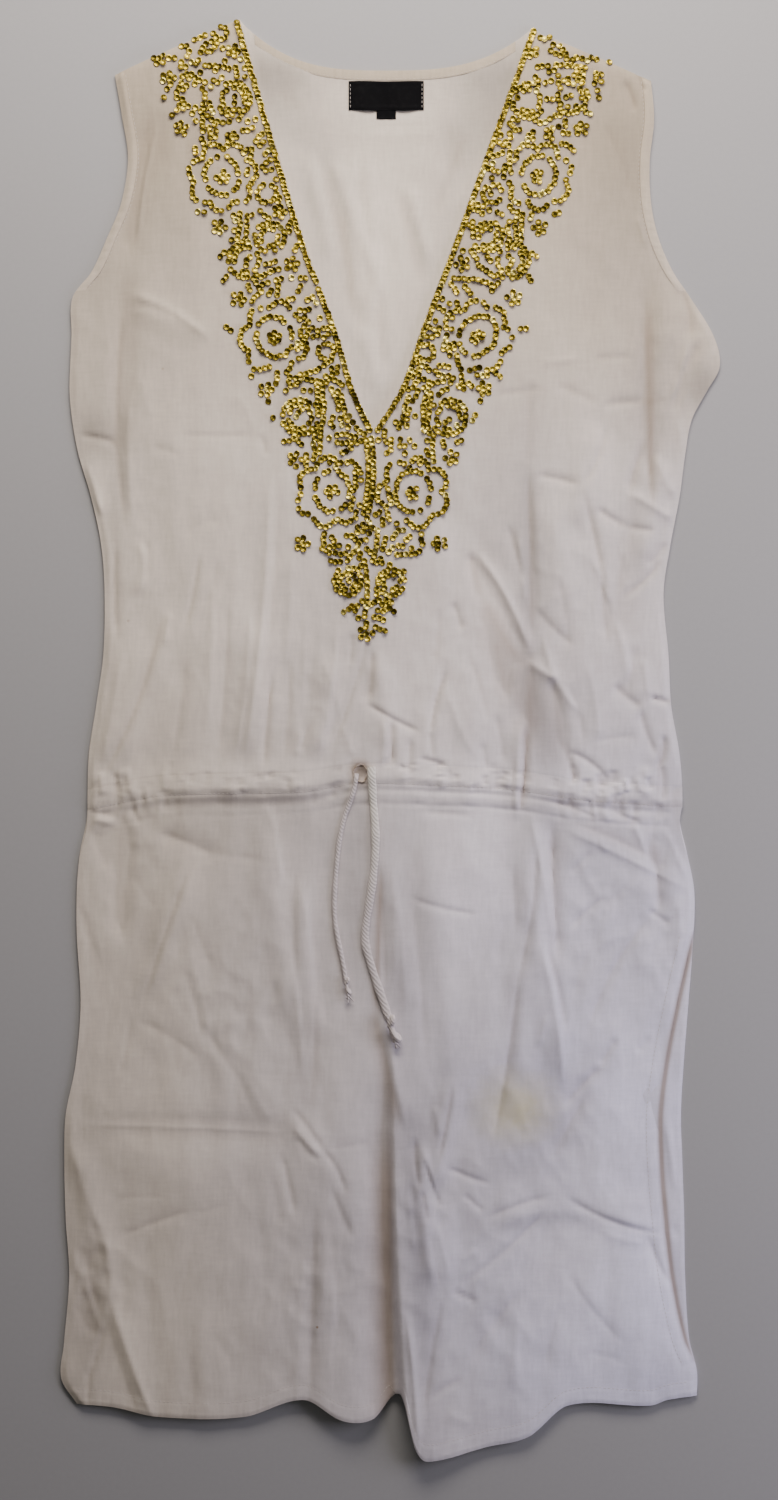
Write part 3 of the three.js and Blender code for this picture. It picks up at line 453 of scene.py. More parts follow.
# ---- outline and relief --------------------------------------------------------


def mix(a, b, t):
    return a + (b - a) * t


def smooth(t):
    s = min(1.0, max(0.0, t))
    return s * s * (3 - 2 * s)


def polar(radius, turn):
    return radius * math.cos(turn), radius * math.sin(turn)


def bell(t):
    return math.exp(-(t**2))


def through(table, axis, key, at):
    """A smooth curve through a table's rows: the value of `key` at `at` on `axis`."""
    where = [getattr(row, axis) for row in table]
    value = [getattr(row, key) for row in table]
    last = len(table) - 1
    at = min(where[last], max(where[0], at))
    i = 0
    while i < last - 1 and at > where[i + 1]:
        i += 1

    def slope(j):
        a, b = max(0, j - 1), min(last, j + 1)
        return (value[b] - value[a]) / (where[b] - where[a])

    step = where[i + 1] - where[i]
    t = (at - where[i]) / step
    return ((2 * t**3 - 3 * t**2 + 1) * value[i] + (t**3 - 2 * t**2 + t) * step * slope(i)
            + (3 * t**2 - 2 * t**3) * value[i + 1] + (t**3 - t**2) * step * slope(i + 1))


def casing_at(x):
    return through(CASING_LINE, "x", "y", x)


def fullness(x):
    return through(FULLNESS, "x", "height", x)


def neck_edge(side, y):
    return through(V_NECK, "y", side, y)


def hem_shift(x):
    """How far the hem lies from its nominal line."""
    return through(HEM, "x", "y", x) - HEM_Y


def spread(start, end, steps):
    """Even steps from start to end, both included."""
    return [mix(start, end, i / steps) for i in range(steps + 1)]


def centre_line(y):
    t = (V_POINT.y - y) / (V_POINT.y - HEM_Y)
    return mix(V_POINT.x, HEM_CENTRE_X, max(0.0, t))


def slit_inset(y):
    t = (SLIT_FROM - y) / (SLIT_FROM - SLIT_TO)
    return SLIT_INSET * math.sin(math.pi * t) if 0 < t < 1 else 0.0


def row_ends(side, h):
    """The side seam's point and the inner point of the row at nominal height h."""
    shoulder = SHOULDERS[side]
    rise = smooth((h - UNDERARM_Y) / (SHOULDER_Y - UNDERARM_Y))
    inset = slit_inset(h) if side == "right" else 0.0
    outer = Vector((through(OUTLINE, "y", side, h) - inset, h + rise * (shoulder.tip.y - SHOULDER_Y)))
    if h <= V_POINT.y:
        return outer, Vector((centre_line(h), h))
    y = mix(V_POINT.y, shoulder.high.y, (h - V_POINT.y) / (SHOULDER_Y - V_POINT.y))
    return outer, Vector((neck_edge(side, y), y))


def crease_strength(fold):
    """Creases are shallower in the well-pressed skirt than in the bodice."""
    x, y = 0.5 * (fold.x1 + fold.x2), 0.5 * (fold.y1 + fold.y2)
    if y > CASING_Y:
        return 1.6 if x > 0 else 1.15
    return 1.0 if x > 0 else 0.65


FOLD_BAND = 20
FOLD_REACH = 2.4  # how far from its line a fold is felt, in its own widths
Laid = namedtuple("Laid", "x y dx dy length bow left right lift reach low high power")


def banded(folds, power):
    """Folds ready for use, listed by the bands of height that they reach."""
    bands = defaultdict(list)
    for fold in folds:
        run = Vector((fold.x2 - fold.x1, fold.y2 - fold.y1))
        reach = FOLD_REACH * max(fold.left, fold.right) + abs(fold.bow)
        xs = sorted((fold.x1, fold.x2))
        ys = sorted((fold.y1, fold.y2))
        laid = Laid(fold.x1, fold.y1, run.x / run.length, run.y / run.length, run.length, fold.bow,
                    fold.left, fold.right, fold.lift, reach, xs[0] - reach, xs[1] + reach, power)
        for band in range(int((ys[0] - reach) // FOLD_BAND), int((ys[1] + reach) // FOLD_BAND) + 1):
            bands[band].append(laid)
    return bands


def lift_at(bands, x, y):
    total = 0.0
    for fold in bands.get(int(y // FOLD_BAND), ()):
        if not fold.low < x < fold.high:
            continue
        along = ((x - fold.x) * fold.dx + (y - fold.y) * fold.dy) / fold.length
        if not 0 < along < 1:
            continue
        off = (y - fold.y) * fold.dx - (x - fold.x) * fold.dy - 4 * fold.bow * along * (1 - along)
        share = abs(off) / (fold.left if off > 0 else fold.right)
        if share < FOLD_REACH:
            taper = smooth(along * 4) * smooth((1 - along) * 4)
            total += fold.lift * taper * math.exp(-(share**fold.power))
    return total


def gathered():
    """Short creases scattered along the channel, always the same ones."""
    rnd = random.Random(5)
    made = []
    for zone in GATHERS:
        for _ in range(zone.count):
            x = rnd.uniform(zone.start, zone.end)
            middle = casing_at(x)
            up = rnd.random() < 0.45
            edge = middle + rnd.uniform(-6, 6)
            length = rnd.uniform(0.45, 1) * (zone.above if up else -zone.below)
            lean = rnd.uniform(-0.3, 0.3)
            width = rnd.uniform(1.6, 2.8)
            lift = rnd.uniform(0.5, 1) * zone.lift * rnd.choice((-1, -1, 1))
            made.append(Fold(x, edge, x + lean * length, edge + length, rnd.uniform(-1, 1),
                             width, width * rnd.uniform(0.8, 1.3), lift))
    return made


FOLD_BANDS = banded(FOLDS, 2)
CREASE_BANDS = banded([fold._replace(lift=fold.lift * crease_strength(fold))
                       for fold in CREASES + gathered()], CREASE_POWER)
BACK_BANDS = banded(BACK_CREASES, 2)
DUSK_BANDS = banded(DUSK, 2)
HOLLOW_BANDS = banded([fold for fold in FOLDS if fold.lift < 0], 2)


def wander(x, y, size, layer):
    """Smooth noise with no grain direction of its own."""
    return noise.noise(Vector((x / size, y / (1.5 * size), layer)))


def rumpled(x, y):
    """The small unevenness of washed and pressed cotton."""
    depth = 0.05
    for patch in RUMPLES:
        far = ((x - patch.x) ** 2 + (y - patch.y) ** 2) / patch.reach**2
        if far < 2.2:
            depth += patch.depth * math.exp(-2 * far)
    broad = 1.9 * wander(x, y, 52, 1.5) + 0.8 * wander(x + 9, y, 24, 4.5)
    broad += 0.6 * wander(x, 0.3 * y, 13, 5.5)
    sharp = abs(wander(0.8 * x + 0.6 * y, 0.8 * y - 0.6 * x, 21, 7.5)) + 0.5 * abs(wander(x, y, 11, 9.5))
    return broad - 4.5 * (depth + 0.03) * sharp + depth * wander(x, y, 6, 9.5)


DROOP, DROOP_FROM, DROOP_TO = 1.5, -10, -60


def droop(x):
    """How far below the channel its swelling hangs, on the left."""
    return DROOP * smooth((x - DROOP_FROM) / (DROOP_TO - DROOP_FROM))


def waist_relief(x, y):
    """The groove under the channel and the thin ridge below it."""
    edge = casing_at(x) - CASING_HEIGHT / 2 - 0.8 * droop(x)
    groove = through(WAIST, "x", "groove", x) * (1 + 0.35 * wander(x, 0, 13, 2.5))
    ridge = through(WAIST, "x", "ridge", x) * (1 + 0.6 * wander(x, 0, 9, 6.5))
    reach = through(WAIST, "x", "reach", x)
    wave = 1.1 * wander(x, 0, 21, 3.5)
    fall = bell((y - edge + GROOVE_DROP + 0.5 * wave) / reach)
    rise = bell((y - edge + RIDGE_DROP + wave) / RIDGE_REACH)
    tuck = bell((y - edge + TUCK_DROP + wave) / TUCK_REACH)
    return ridge * (rise - 0.7 * tuck) - groove * fall


def waist_swell(x, y, casing_y):
    """How the front rises towards the drawn-in channel."""
    hanging = droop(x)
    if y > casing_y:
        beyond, reach = y - casing_y - 0.2 * CASING_HEIGHT, 12
    else:
        beyond, reach = casing_y - y - 0.48 * CASING_HEIGHT - 0.6 * hanging, mix(7, 6, hanging / DROOP)
    share = mix(0.75, 1.25, hanging / DROOP)
    swell = share * fullness(x)
    return swell * bell(max(0.0, beyond) / reach)


def eyelet_dip(x, y):
    far = math.hypot((x - EYELET_X) / EYELET_HALF_WIDTH, (y - EYELET_Y) / EYELET_HALF_HEIGHT)
    return 2.2 * (1 - smooth(far - 0.4))


NECK_BEAD_WIDTH = 3.2
HEM_BAND = 11
SLIT_BAND = 9
NEAR_WAIST = 34
FINE_FADE = 5


def front_top(side, x, y, h, share, width):
    """Height of the front's upper face."""
    opened = smooth((y - V_POINT.y) / 80)
    arch = mix(1 - share**3, 4 * share * (1 - share), opened)
    from_seam = (1 - share) * width
    from_neck = share * width if h > V_POINT.y else 1e3
    to_seam = smooth(from_seam / EDGE_FADE)
    to_neck = mix(1, smooth(share * width / EDGE_FADE), opened)
    lift = BILLOW * arch + lift_at(FOLD_BANDS, x, y) * to_seam * to_neck
    fade = smooth(from_seam / FINE_FADE) * smooth(from_neck / FINE_FADE)
    lift += (lift_at(CREASE_BANDS, x, y) + rumpled(x, y)) * fade
    if abs(h - CASING_Y) < NEAR_WAIST:
        near = smooth(from_seam / 9)
        lift += (waist_relief(x, y) + waist_swell(x, y, casing_at(x))) * near - eyelet_dip(x, y)
    from_hem = h - HEM_Y
    if from_hem < 1.3 * HEM_BAND:
        pucker = 0.16 * wander(x, 0, 3.4, 8.5) + 0.1 * wander(x, y, 7, 2.5)
        lift += (0.16 + pucker) * (1 - smooth((from_hem - HEM_BAND + 2) / 4)) * fade
        lift -= 0.1 * bell((from_hem - HEM_BAND) / 1.1) * fade
    if side == "right" and slit_inset(h) > 0.5 and from_seam < 1.3 * SLIT_BAND:
        lift += 0.34 * (1 - smooth((from_seam - SLIT_BAND + 1) / 1.6))
    bead = bell((from_neck - 0.5 * NECK_BEAD_WIDTH) / (0.55 * NECK_BEAD_WIDTH))
    lift += 0.55 * bead - 0.3 * bell((from_neck - NECK_BEAD_WIDTH - 0.9) / 0.8)
    drop = 1.1 * (1 - smooth(from_seam / 5)) + 0.5 * (1 - smooth(from_hem / 2.6))
    drop += 0.7 * (1 - smooth(from_neck / 1.6))
    from_shoulder = SHOULDER_Y - h
    drop += 1.2 * (1 - smooth(from_shoulder / 4))
    return max(FRONT_LEAST, FRONT_TOP + lift - drop)


def row_width(ends):
    return (ends[0] - ends[1]).length


def front_place(h, ends, share):
    """Where a point of the front lies, at its share of the row between its ends."""
    outer, inner = ends
    x, y = inner.lerp(outer, share)
    if h < HEM_Y + HEM_REACH:
        y += hem_shift(x) * (1 - smooth((h - HEM_Y) / HEM_REACH))
    off = abs(h - CASING_Y) - CASING_HEIGHT / 2
    if off < CASING_REACH:
        y += (casing_at(x) - CASING_Y) * (1 - smooth(off / CASING_REACH))
    return x, y, row_width(ends)


def back_neck_y(x):
    t = (x - NECK_X) / NECK_HALF
    rise = NECK_RISE_LEFT if t < 0 else NECK_RISE_RIGHT
    return NECK_LOW + rise * abs(t) ** 3


# ---- helpers for meshes ------------------------------------------------------------


def heights_of(bands):
    heights = [bands[0].start]
    for band in bands:
        heights += spread(band.start, band.end, band.rows)[1:]
    return heights


def finish_mesh(name, bm):
    """The bmesh's smoothly shaded object, riding on the dress, in the scene's collection."""
    mesh = bpy.data.meshes.new(name)
    bm.to_mesh(mesh)
    bm.free()
    for polygon in mesh.polygons:
        polygon.use_smooth = True
    mesh.set_sharp_from_angle(angle=math.radians(60))
    return place_mesh(name, mesh)


def place_mesh(name, mesh):
    piece = bpy.data.objects.new(name, mesh)
    bpy.context.scene.collection.objects.link(piece)
    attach(piece, BODY)
    return piece


def dress_up(piece, material):
    piece.data.materials.clear()
    piece.data.materials.append(material_named(material))


def slab(name, columns, rows, upper, lower):
    """A closed thin piece: one grid, extruded, with its two faces placed by functions
    of the shares of the way across and up."""
    bm = bmesh.new()
    bmesh.ops.create_grid(bm, x_segments=columns, y_segments=rows, size=0.5)
    made = bmesh.ops.extrude_face_region(bm, geom=bm.faces[:])
    raised = {item for item in made["geom"] if isinstance(item, bmesh.types.BMVert)}
    for vert in bm.verts:
        u, v = vert.co.x + 0.5, vert.co.y + 0.5
        vert.co = Vector(upper(u, v) if vert in raised else lower(u, v)) * MM
    return finish_mesh(name, bm)


def top_of(*names):
    """The shown upper surface of pieces that are already made: height at a point, and slope."""
    trees = []
    for name in names:
        piece = bpy.data.objects.get(name)
        if piece is None:
            raise RuntimeError(f"{name} has to be made first")
        bm = bmesh.new()
        bm.from_mesh(piece.data)
        trees.append(BVHTree.FromBMesh(bm))
        bm.free()

    def look(x, y, missed=(FRONT_TOP, Vector((0, 0, 1)))):
        rays = [tree.ray_cast(Vector((x * MM, y * MM, 0.2)), Vector((0, 0, -1))) for tree in trees]
        hits = [(hit.z / MM, normal if normal.z > 0 else -normal) for hit, normal, _, _ in rays if hit]
        return max(hits, key=lambda found: found[0], default=missed)

    return look


AROUND = [(i, j) for i in (-1, 0, 1) for j in (-1, 0, 1)]
FRONT_PIECES = ("bodice_front_cloth", "skirt_front_cloth")
LAYERS = FRONT_PIECES + ("waist_casing_left_cloth", "waist_casing_right_cloth")


# ---- shader groups and materials ---------------------------------------------------


def feed(tree, socket, value):
    """Link a socket from another one, or set it to a number, a vector or a colour."""
    if isinstance(value, bpy.types.NodeSocket):
        tree.links.new(value, socket)
    elif socket.type == "RGBA":
        socket.default_value = (*value, 1.0)
    else:
        socket.default_value = value


def add_node(tree, kind, inputs=None, **settings):
    """A node with its settings and its inputs, each one a value or another node's socket."""
    node = tree.nodes.new(kind)
    for key, value in settings.items():
        setattr(node, key, value)
    for key, value in (inputs or {}).items():
        feed(tree, node.inputs[key], value)
    return node


def math_node(tree, operation, *terms):
    node = add_node(tree, "ShaderNodeMath", operation=operation)
    for socket, term in zip(node.inputs, terms):
        feed(tree, socket, term)
    return node.outputs[0]


def product(tree, first, *others):
    for other in others:
        first = math_node(tree, "MULTIPLY", first, other)
    return first


def colour_mix(tree, factor, a, b, blend="MIX"):
    node = add_node(tree, "ShaderNodeMix", data_type="RGBA", blend_type=blend)
    for name, kind, value in (("Factor", "VALUE", factor), ("A", "RGBA", a), ("B", "RGBA", b)):
        feed(tree, next(s for s in node.inputs if s.name == name and s.type == kind), value)
    return next(s for s in node.outputs if s.type == "RGBA")


def ranged(tree, value, low, high, to_low=0.0, to_high=1.0):
    """The value's place between low and high, as a number between the other two."""
    return add_node(tree, "ShaderNodeMapRange", {
        "Value": value, "From Min": low, "From Max": high, "To Min": to_low, "To Max": to_high,
    }).outputs["Result"]


def grain(tree, where, scale, detail=2.0, roughness=0.5):
    return add_node(tree, "ShaderNodeTexNoise", {
        "Vector": where, "Scale": scale, "Detail": detail, "Roughness": roughness}).outputs["Fac"]


def ribs(tree, where, scale, direction, distortion, detail):
    return add_node(tree, "ShaderNodeTexWave", {
        "Vector": where, "Scale": scale, "Distortion": distortion, "Detail": detail,
    }, wave_type="BANDS", bands_direction=direction, wave_profile="SIN")


def attribute(tree, name):
    return add_node(tree, "ShaderNodeAttribute", attribute_name=name).outputs["Fac"]


def new_group(name, inputs, outputs):
    """A shader node group with the named sockets; returns it with its two end nodes."""
    group = bpy.data.node_groups.new(name, "ShaderNodeTree")
    for label, kind, default in inputs:
        socket = group.interface.new_socket(name=label, in_out="INPUT", socket_type="NodeSocket" + kind)
        if default is not None:
            socket.default_value = default
    for label in outputs:
        group.interface.new_socket(name=label, in_out="OUTPUT", socket_type="NodeSocketFloat")
    return group, group.nodes.new("NodeGroupInput").outputs, group.nodes.new("NodeGroupOutput").inputs


def weave_group():
    """Plain weave: the crossing threads' height, and the slubs that streak it."""
    group, given, result = new_group(
        "Plain weave", [("Vector", "Vector", None), ("Threads per metre", "Float", 2000.0)],
        ["Height", "Slub"])
    # a wave texture turns once in pi / 10 of its scaled length
    scale = product(group, given["Threads per metre"], math.pi / 10)
    threads = [ribs(group, given["Vector"], scale, direction, 0.6, 1.0) for direction in ("X", "Y")]
    for thread in threads:
        thread.inputs["Detail Scale"].default_value = 0.3
    feed(group, result["Height"], math_node(group, "MAXIMUM", *(t.outputs["Fac"] for t in threads)))
    streaks = []
    for stretch, share in (((420.0, 70.0, 60.0), 0.6), ((80.0, 460.0, 60.0), 0.4)):
        mapped = add_node(group, "ShaderNodeMapping", {"Vector": given["Vector"], "Scale": stretch})
        streaks.append(product(group, grain(group, mapped.outputs["Vector"], 1, 4, 0.62), share))
    feed(group, result["Slub"], math_node(group, "ADD", *streaks))
    return group


def stain_group():
    """A ragged-edged spot: a mask that is 1 at its middle."""
    group, given, result = new_group("Stain", [
        ("Vector", "Vector", None), ("Centre", "Vector", (0, 0, 0)), ("Stretch", "Vector", (1, 1, 0)),
        ("Radius", "Float", 0.02), ("Softness", "Float", 0.01), ("Raggedness", "Float", 0.004)], ["Mask"])
    shifted = add_node(group, "ShaderNodeVectorMath", {0: given["Vector"], 1: given["Centre"]},
                       operation="SUBTRACT")
    shaped = add_node(group, "ShaderNodeVectorMath", {0: shifted.outputs[0], 1: given["Stretch"]},
                      operation="MULTIPLY")
    far = add_node(group, "ShaderNodeVectorMath", {0: shaped.outputs[0]}, operation="LENGTH")
    ragged = math_node(group, "SUBTRACT", grain(group, given["Vector"], 120, 5, 0.65), 0.5)
    edge = math_node(group, "ADD", far.outputs["Value"], product(group, ragged, given["Raggedness"]))
    inside = math_node(group, "SUBTRACT", given["Radius"], edge)
    mask = math_node(group, "DIVIDE", inside, given["Softness"])
    feed(group, result["Mask"], add_node(group, "ShaderNodeClamp", {"Value": mask}).outputs[0])
    return group


def place_group(tree, name, make, inputs):
    group = bpy.data.node_groups.get(name) or make()
    return add_node(tree, "ShaderNodeGroup", node_tree=group, inputs=inputs)


def new_material(name):
    """A material with its Principled shader and object coordinates."""
    material = bpy.data.materials.new(name)
    material.use_nodes = True
    tree = material.node_tree
    where = add_node(tree, "ShaderNodeTexCoord").outputs["Object"]
    return material, tree, tree.nodes["Principled BSDF"], where


def finish_shader(tree, shader, colour, sockets, height=None, bump=0.0, distance=0.0):
    """Give the shader its colour, its other sockets and the relief of a height."""
    for name, value in {"Base Color": colour, **sockets}.items():
        feed(tree, shader.inputs[name], value)
    if height is not None:
        relief = add_node(tree, "ShaderNodeBump",
                          {"Height": height, "Strength": bump, "Distance": distance})
        feed(tree, shader.inputs["Normal"], relief.outputs["Normal"])


STAIN_AT, STAIN_CORE_AT = (0.090, -0.264, 0), (0.094, -0.267, 0)
SPECKS = (((-0.052, -0.422, 0), 0.8), ((-0.163, 0.266, 0), 0.35), ((-0.188, 0.085, 0), 0.35))
# Brown of the painted shade in creases, hollows, along the slit and among the sequins.
PAINTED_SHADE_BROWN = (0.27, 0.195, 0.13)
# The first is painted shade over the left tie and also darkens the lower right tie; the second mottles
# both.
DARKER_TIE, GREY_TIE = (0.565, 0.515, 0.5), (0.52, 0.48, 0.45)


def cotton_material(name, colours, painted_cool=1.0, thread=2200.0, marks=False, bump=0.35):
    """Plain-woven cotton: warm on one side, painted cooler on the other for the daylight, with slubs and
    faint marks.
    """
    material, tree, shader, where = new_material(name)
    weave = place_group(tree, "Plain weave", weave_group,
                        {"Vector": where, "Threads per metre": thread}).outputs
    place = add_node(tree, "ShaderNodeSeparateXYZ", {"Vector": where}).outputs
    # Painted daylight: the cotton turns bluish towards the lower right.
    drift = math_node(tree, "ADD", grain(tree, where, 5, 3), 0.5)
    painted_daylight = product(tree, ranged(tree, place["X"], -0.16, 0.17), ranged(tree, place["Y"], 0.3, -0.26),
                       drift, painted_cool)
    base = colour_mix(tree, painted_daylight, colours.cotton, colours.cotton_daylit)
    # Darker and yellower towards the top.
    if marks:
        base = colour_mix(tree, ranged(tree, place["Y"], 0.2, 0.43, to_high=0.95), base, colours.upper_tone)
    base = colour_mix(tree, 1.0, base, ranged(tree, weave["Slub"], 0.3, 0.7, 0.89, 1.08), "MULTIPLY")
    # Brown painted shade, from the vertex attribute.
    dusk = ranged(tree, attribute(tree, "hollow"), 0, 1.6, to_high=0.72)
    base = colour_mix(tree, dusk, base, PAINTED_SHADE_BROWN)
    # Broad painted light and shade, from the vertex attribute.
    lighter = math_node(tree, "ADD", attribute(tree, "faded"), 1.0)
    base = colour_mix(tree, 1.0, base, lighter, "MULTIPLY")
    if marks:
        base = marked(tree, where, base, colours)
    height = math_node(tree, "ADD", product(tree, weave["Height"], 0.35), weave["Slub"])
    finish_shader(tree, shader, base, {"Roughness": 0.88, "Specular IOR Level": 0.25,
                                       "Sheen Weight": 0.12, "Sheen Roughness": 0.5},
                  height, bump, 0.00035)
    return material


def stain_mask(tree, where, strength, centre, stretch, radius, softness, raggedness):
    """How strongly one ragged spot shows, from its place and its sizes in metres."""
    spot = place_group(tree, "Stain", stain_group, {
        "Vector": where, "Centre": centre, "Stretch": (1.0, stretch, 0), "Radius": radius,
        "Softness": softness, "Raggedness": raggedness})
    return product(tree, spot.outputs["Mask"], strength)


def marked(tree, where, base, colours):
    """The yellow stain, the rust round the eyelet and three small specks."""
    wide = stain_mask(tree, where, 0.52, STAIN_AT, 1.1, 0.037, 0.026, 0.018)
    core = stain_mask(tree, where, 0.2, STAIN_CORE_AT, 1.0, 0.017, 0.016, 0.02)
    result = colour_mix(tree, math_node(tree, "ADD", wide, core), base, colours.stain)
    for centre, strength in SPECKS:
        speck = stain_mask(tree, where, strength, centre, 1.0, 0.0013, 0.0008, 0.0008)
        result = colour_mix(tree, speck, result, colours.rust)
    eyelet = (EYELET_X * MM, EYELET_Y * MM, 0)
    halo = stain_mask(tree, where, 0.42, eyelet, 0.85, 0.0105, 0.005, 0.006)
    return colour_mix(tree, halo, result, colours.rust)


def tie_material(name, colours):
    """Soft twisted cotton tape of the drawstring, with painted shade over the left tie, darker further
    down the right tie and lighter near its start.
    """
    material, tree, shader, where = new_material(name)
    fibres = grain(tree, where, 700, 4, 0.6)
    twist = ribs(tree, where, 210.0, "DIAGONAL", 2.5, 2.0).outputs["Fac"]
    place = add_node(tree, "ShaderNodeSeparateXYZ", {"Vector": where}).outputs
    # Painted shade: darker everywhere but near the right tie's start.
    bright_start = product(tree, ranged(tree, place["X"], -0.022, -0.015),
                    ranged(tree, place["Y"], -0.12, -0.05))
    base = colour_mix(tree, bright_start, DARKER_TIE, colours.tie)
    base = colour_mix(tree, 1.0, base, ranged(tree, fibres, 0.3, 0.7, 0.9, 1.06), "MULTIPLY")
    base = colour_mix(tree, product(tree, grain(tree, where, 45), 0.35), base, GREY_TIE)
    finish_shader(tree, shader, base, {"Roughness": 0.85, "Specular IOR Level": 0.25},
                  math_node(tree, "ADD", twist, fibres), 0.5, 0.0004)
    return material


def label_material(name, colours):
    """Black satin: a fine slanted twill with a soft shine and a little fluff."""
    material, tree, shader, where = new_material(name)
    twill = ribs(tree, where, 480.0, "DIAGONAL", 0.5, 1.0).outputs["Fac"]
    fluff = ranged(tree, grain(tree, where, 260, 6, 0.7), 0.5, 0.85, 0, 0.06)
    base = colour_mix(tree, fluff, colours.label, (0.08, 0.078, 0.08))
    rough = ranged(tree, twill, 0, 1, 0.6, 0.75)
    finish_shader(tree, shader, base, {"Roughness": rough, "Specular IOR Level": 0.03},
                  twill, 0.3, 0.0002)
    return material


def sequin_material(name, colours):
    """Gold foil on plastic: each sequin has its own tone, from painted shade to a painted glint."""
    material, tree, shader, where = new_material(name)
    ramp = add_node(tree, "ShaderNodeValToRGB", {"Fac": attribute(tree, "tone")})
    gold = Vector(colours.gold)
    # The dark stops are painted shade, the bright last stop a painted glint.
    stops = ((0.0, gold * 0.2), (0.45, gold * 0.5), (0.85, gold), (1.0, Vector((0.64, 0.54, 0.13))))
    for position, _ in stops[1:-1]:
        ramp.color_ramp.elements.new(position)
    for element, (_, colour) in zip(ramp.color_ramp.elements, stops):
        element.color = (*colour, 1.0)
    rough = ranged(tree, grain(tree, where, 1400, 3), 0, 1, 0.3, 0.46)
    finish_shader(tree, shader, ramp.outputs["Color"], {"Metallic": 1.0, "Roughness": rough})
    return material


def thread_material(name, colours):
    """Cotton sewing thread."""
    material, tree, shader, where = new_material(name)
    shade = ranged(tree, grain(tree, where, 2500), 0, 1, 0.46, 0.62)
    base = colour_mix(tree, 1.0, (1.0, 0.92, 0.84), shade, "MULTIPLY")
    finish_shader(tree, shader, base, {"Roughness": 0.7})
    return material


def worn_material(name, colours):
    """Rusty, soiled thread round the eyelet."""
    material, tree, shader, where = new_material(name)
    patches = grain(tree, where, 330, 4)
    base = colour_mix(tree, ranged(tree, patches, 0.28, 0.52), colours.rust, (0.50, 0.43, 0.36))
    finish_shader(tree, shader, base, {"Roughness": 0.85}, patches, 0.6, 0.0005)
    return material


def floor_material(name, colours):
    """Pale matt card."""
    material, tree, shader, where = new_material(name)
    tone = ranged(tree, grain(tree, where, 300), 0, 1, 0.325, 0.345)
    finish_shader(tree, shader, tone, {"Roughness": 0.95, "Specular IOR Level": 0.1})
    return material


MATERIALS = {
    "Front cotton": partial(cotton_material, marks=True),
    "Back cotton": partial(cotton_material, painted_cool=0.9),
    "Trim cotton": partial(cotton_material, painted_cool=0.9, thread=2400.0, marks=True, bump=0.45),
    "Drawstring cotton": tie_material,
    "Label satin": label_material,
    "Gold sequins": sequin_material,
    "Sewing thread": thread_material,
    "Worn eyelet": worn_material,
    "Pale floor": floor_material,
}


def material_named(name):
    """The material of that name, made on its first use."""
    return bpy.data.materials.get(name) or MATERIALS[name](name, bpy.context.scene.tunic_colours)


# ---- the pieces ---------------------------------------------------------------------


APART = 1e-4  # keeps the halves' inner edges apart while the grids are laid out


def front_grid(rows):
    """Both halves as one grid of (signed share, row), joined below the neck's point."""
    bm = bmesh.new()
    bm.verts.layers.float.new("hollow")
    bm.verts.layers.float.new("faded")
    for turn in (-1, 1):
        before = set(bm.verts)
        bmesh.ops.create_grid(bm, x_segments=COLUMNS, y_segments=len(rows) - 1, size=0.5)
        for vert in set(bm.verts) - before:
            vert.co.x += 0.5 * turn + APART * turn
            vert.co.y = (vert.co.y + 0.5) * (len(rows) - 1)
    inner = [vert for vert in bm.verts
             if abs(vert.co.x) < 2 * APART and rows[round(vert.co.y)] <= V_POINT.y]
    for vert in inner:
        vert.co.x = 0
    bmesh.ops.remove_doubles(bm, verts=inner, dist=APART)
    return bm


def front_cloth(name, bands, top, thickness):
    """A stretch of the front as a closed thin shell, finer above than below."""
    rows = heights_of(bands)
    bm = front_grid(rows)
    made = bmesh.ops.extrude_face_region(bm, geom=bm.faces[:])
    raised = [item for item in made["geom"] if isinstance(item, bmesh.types.BMVert)]
    bmesh.ops.translate(bm, verts=raised, vec=Vector((0, 0, 1)))
    upper_faces = [item for item in made["geom"] if isinstance(item, bmesh.types.BMFace)]
    upper_edges = {edge for face in upper_faces for edge in face.edges}
    bmesh.ops.subdivide_edges(bm, edges=list(upper_edges), cuts=1, use_grid_fill=True)
    hollow = bm.verts.layers.float["hollow"]
    light_and_shade = bm.verts.layers.float["faded"]
    ends = {}
    heights = {}

    def spot(vert):
        side = "left" if vert.co.x < 0 else "right"
        share = max(0.0, abs(vert.co.x) - APART)
        row = round(2 * vert.co.y)
        low = rows[row // 2]
        h = low if row % 2 == 0 else mix(low, rows[row // 2 + 1], 0.5)
        if (side, row) not in ends:
            ends[side, row] = row_ends(side, h)
        x, y, width = front_place(h, ends[side, row], share)
        return side, round(2 * COLUMNS * share), row, h, share, x, y, width

    spots = {vert: spot(vert) for vert in bm.verts}
    under = [vert for vert in bm.verts if vert.co.z < 0.5]
    for vert, (side, column, row, h, share, x, y, width) in spots.items():
        if vert.co.z < 0.5:
            continue
        z = top(side, x, y, h, share, width)
        heights[side, column, row] = z
        if column == 0 and h <= V_POINT.y:
            heights["left", column, row] = z
        # Brown painted shade in creases, along the slit and among the sequins, and broad painted light
        # and shade.
        vert[hollow] = (duskiness(x, y) + slit_shade(side, h, (1 - share) * width)
                        + 0.35 * embroidered(x, y))
        vert[light_and_shade] = faded(FRONT_PATCHES, x, y)
        vert.co = Vector((x, y, z)) * MM
    for vert in under:
        side, column, row, h, share, x, y, width = spots[vert]
        near = []
        for i, j in AROUND:
            other = {"left": "right", "right": "left"}[side] if column + i < 0 else side
            near.append(heights.get((other, abs(column + i), row + j), 99))
        vert.co = Vector((x, y, max(CLOTH + 0.05, min(near) - thickness / MM))) * MM
    return finish_mesh(name, bm)


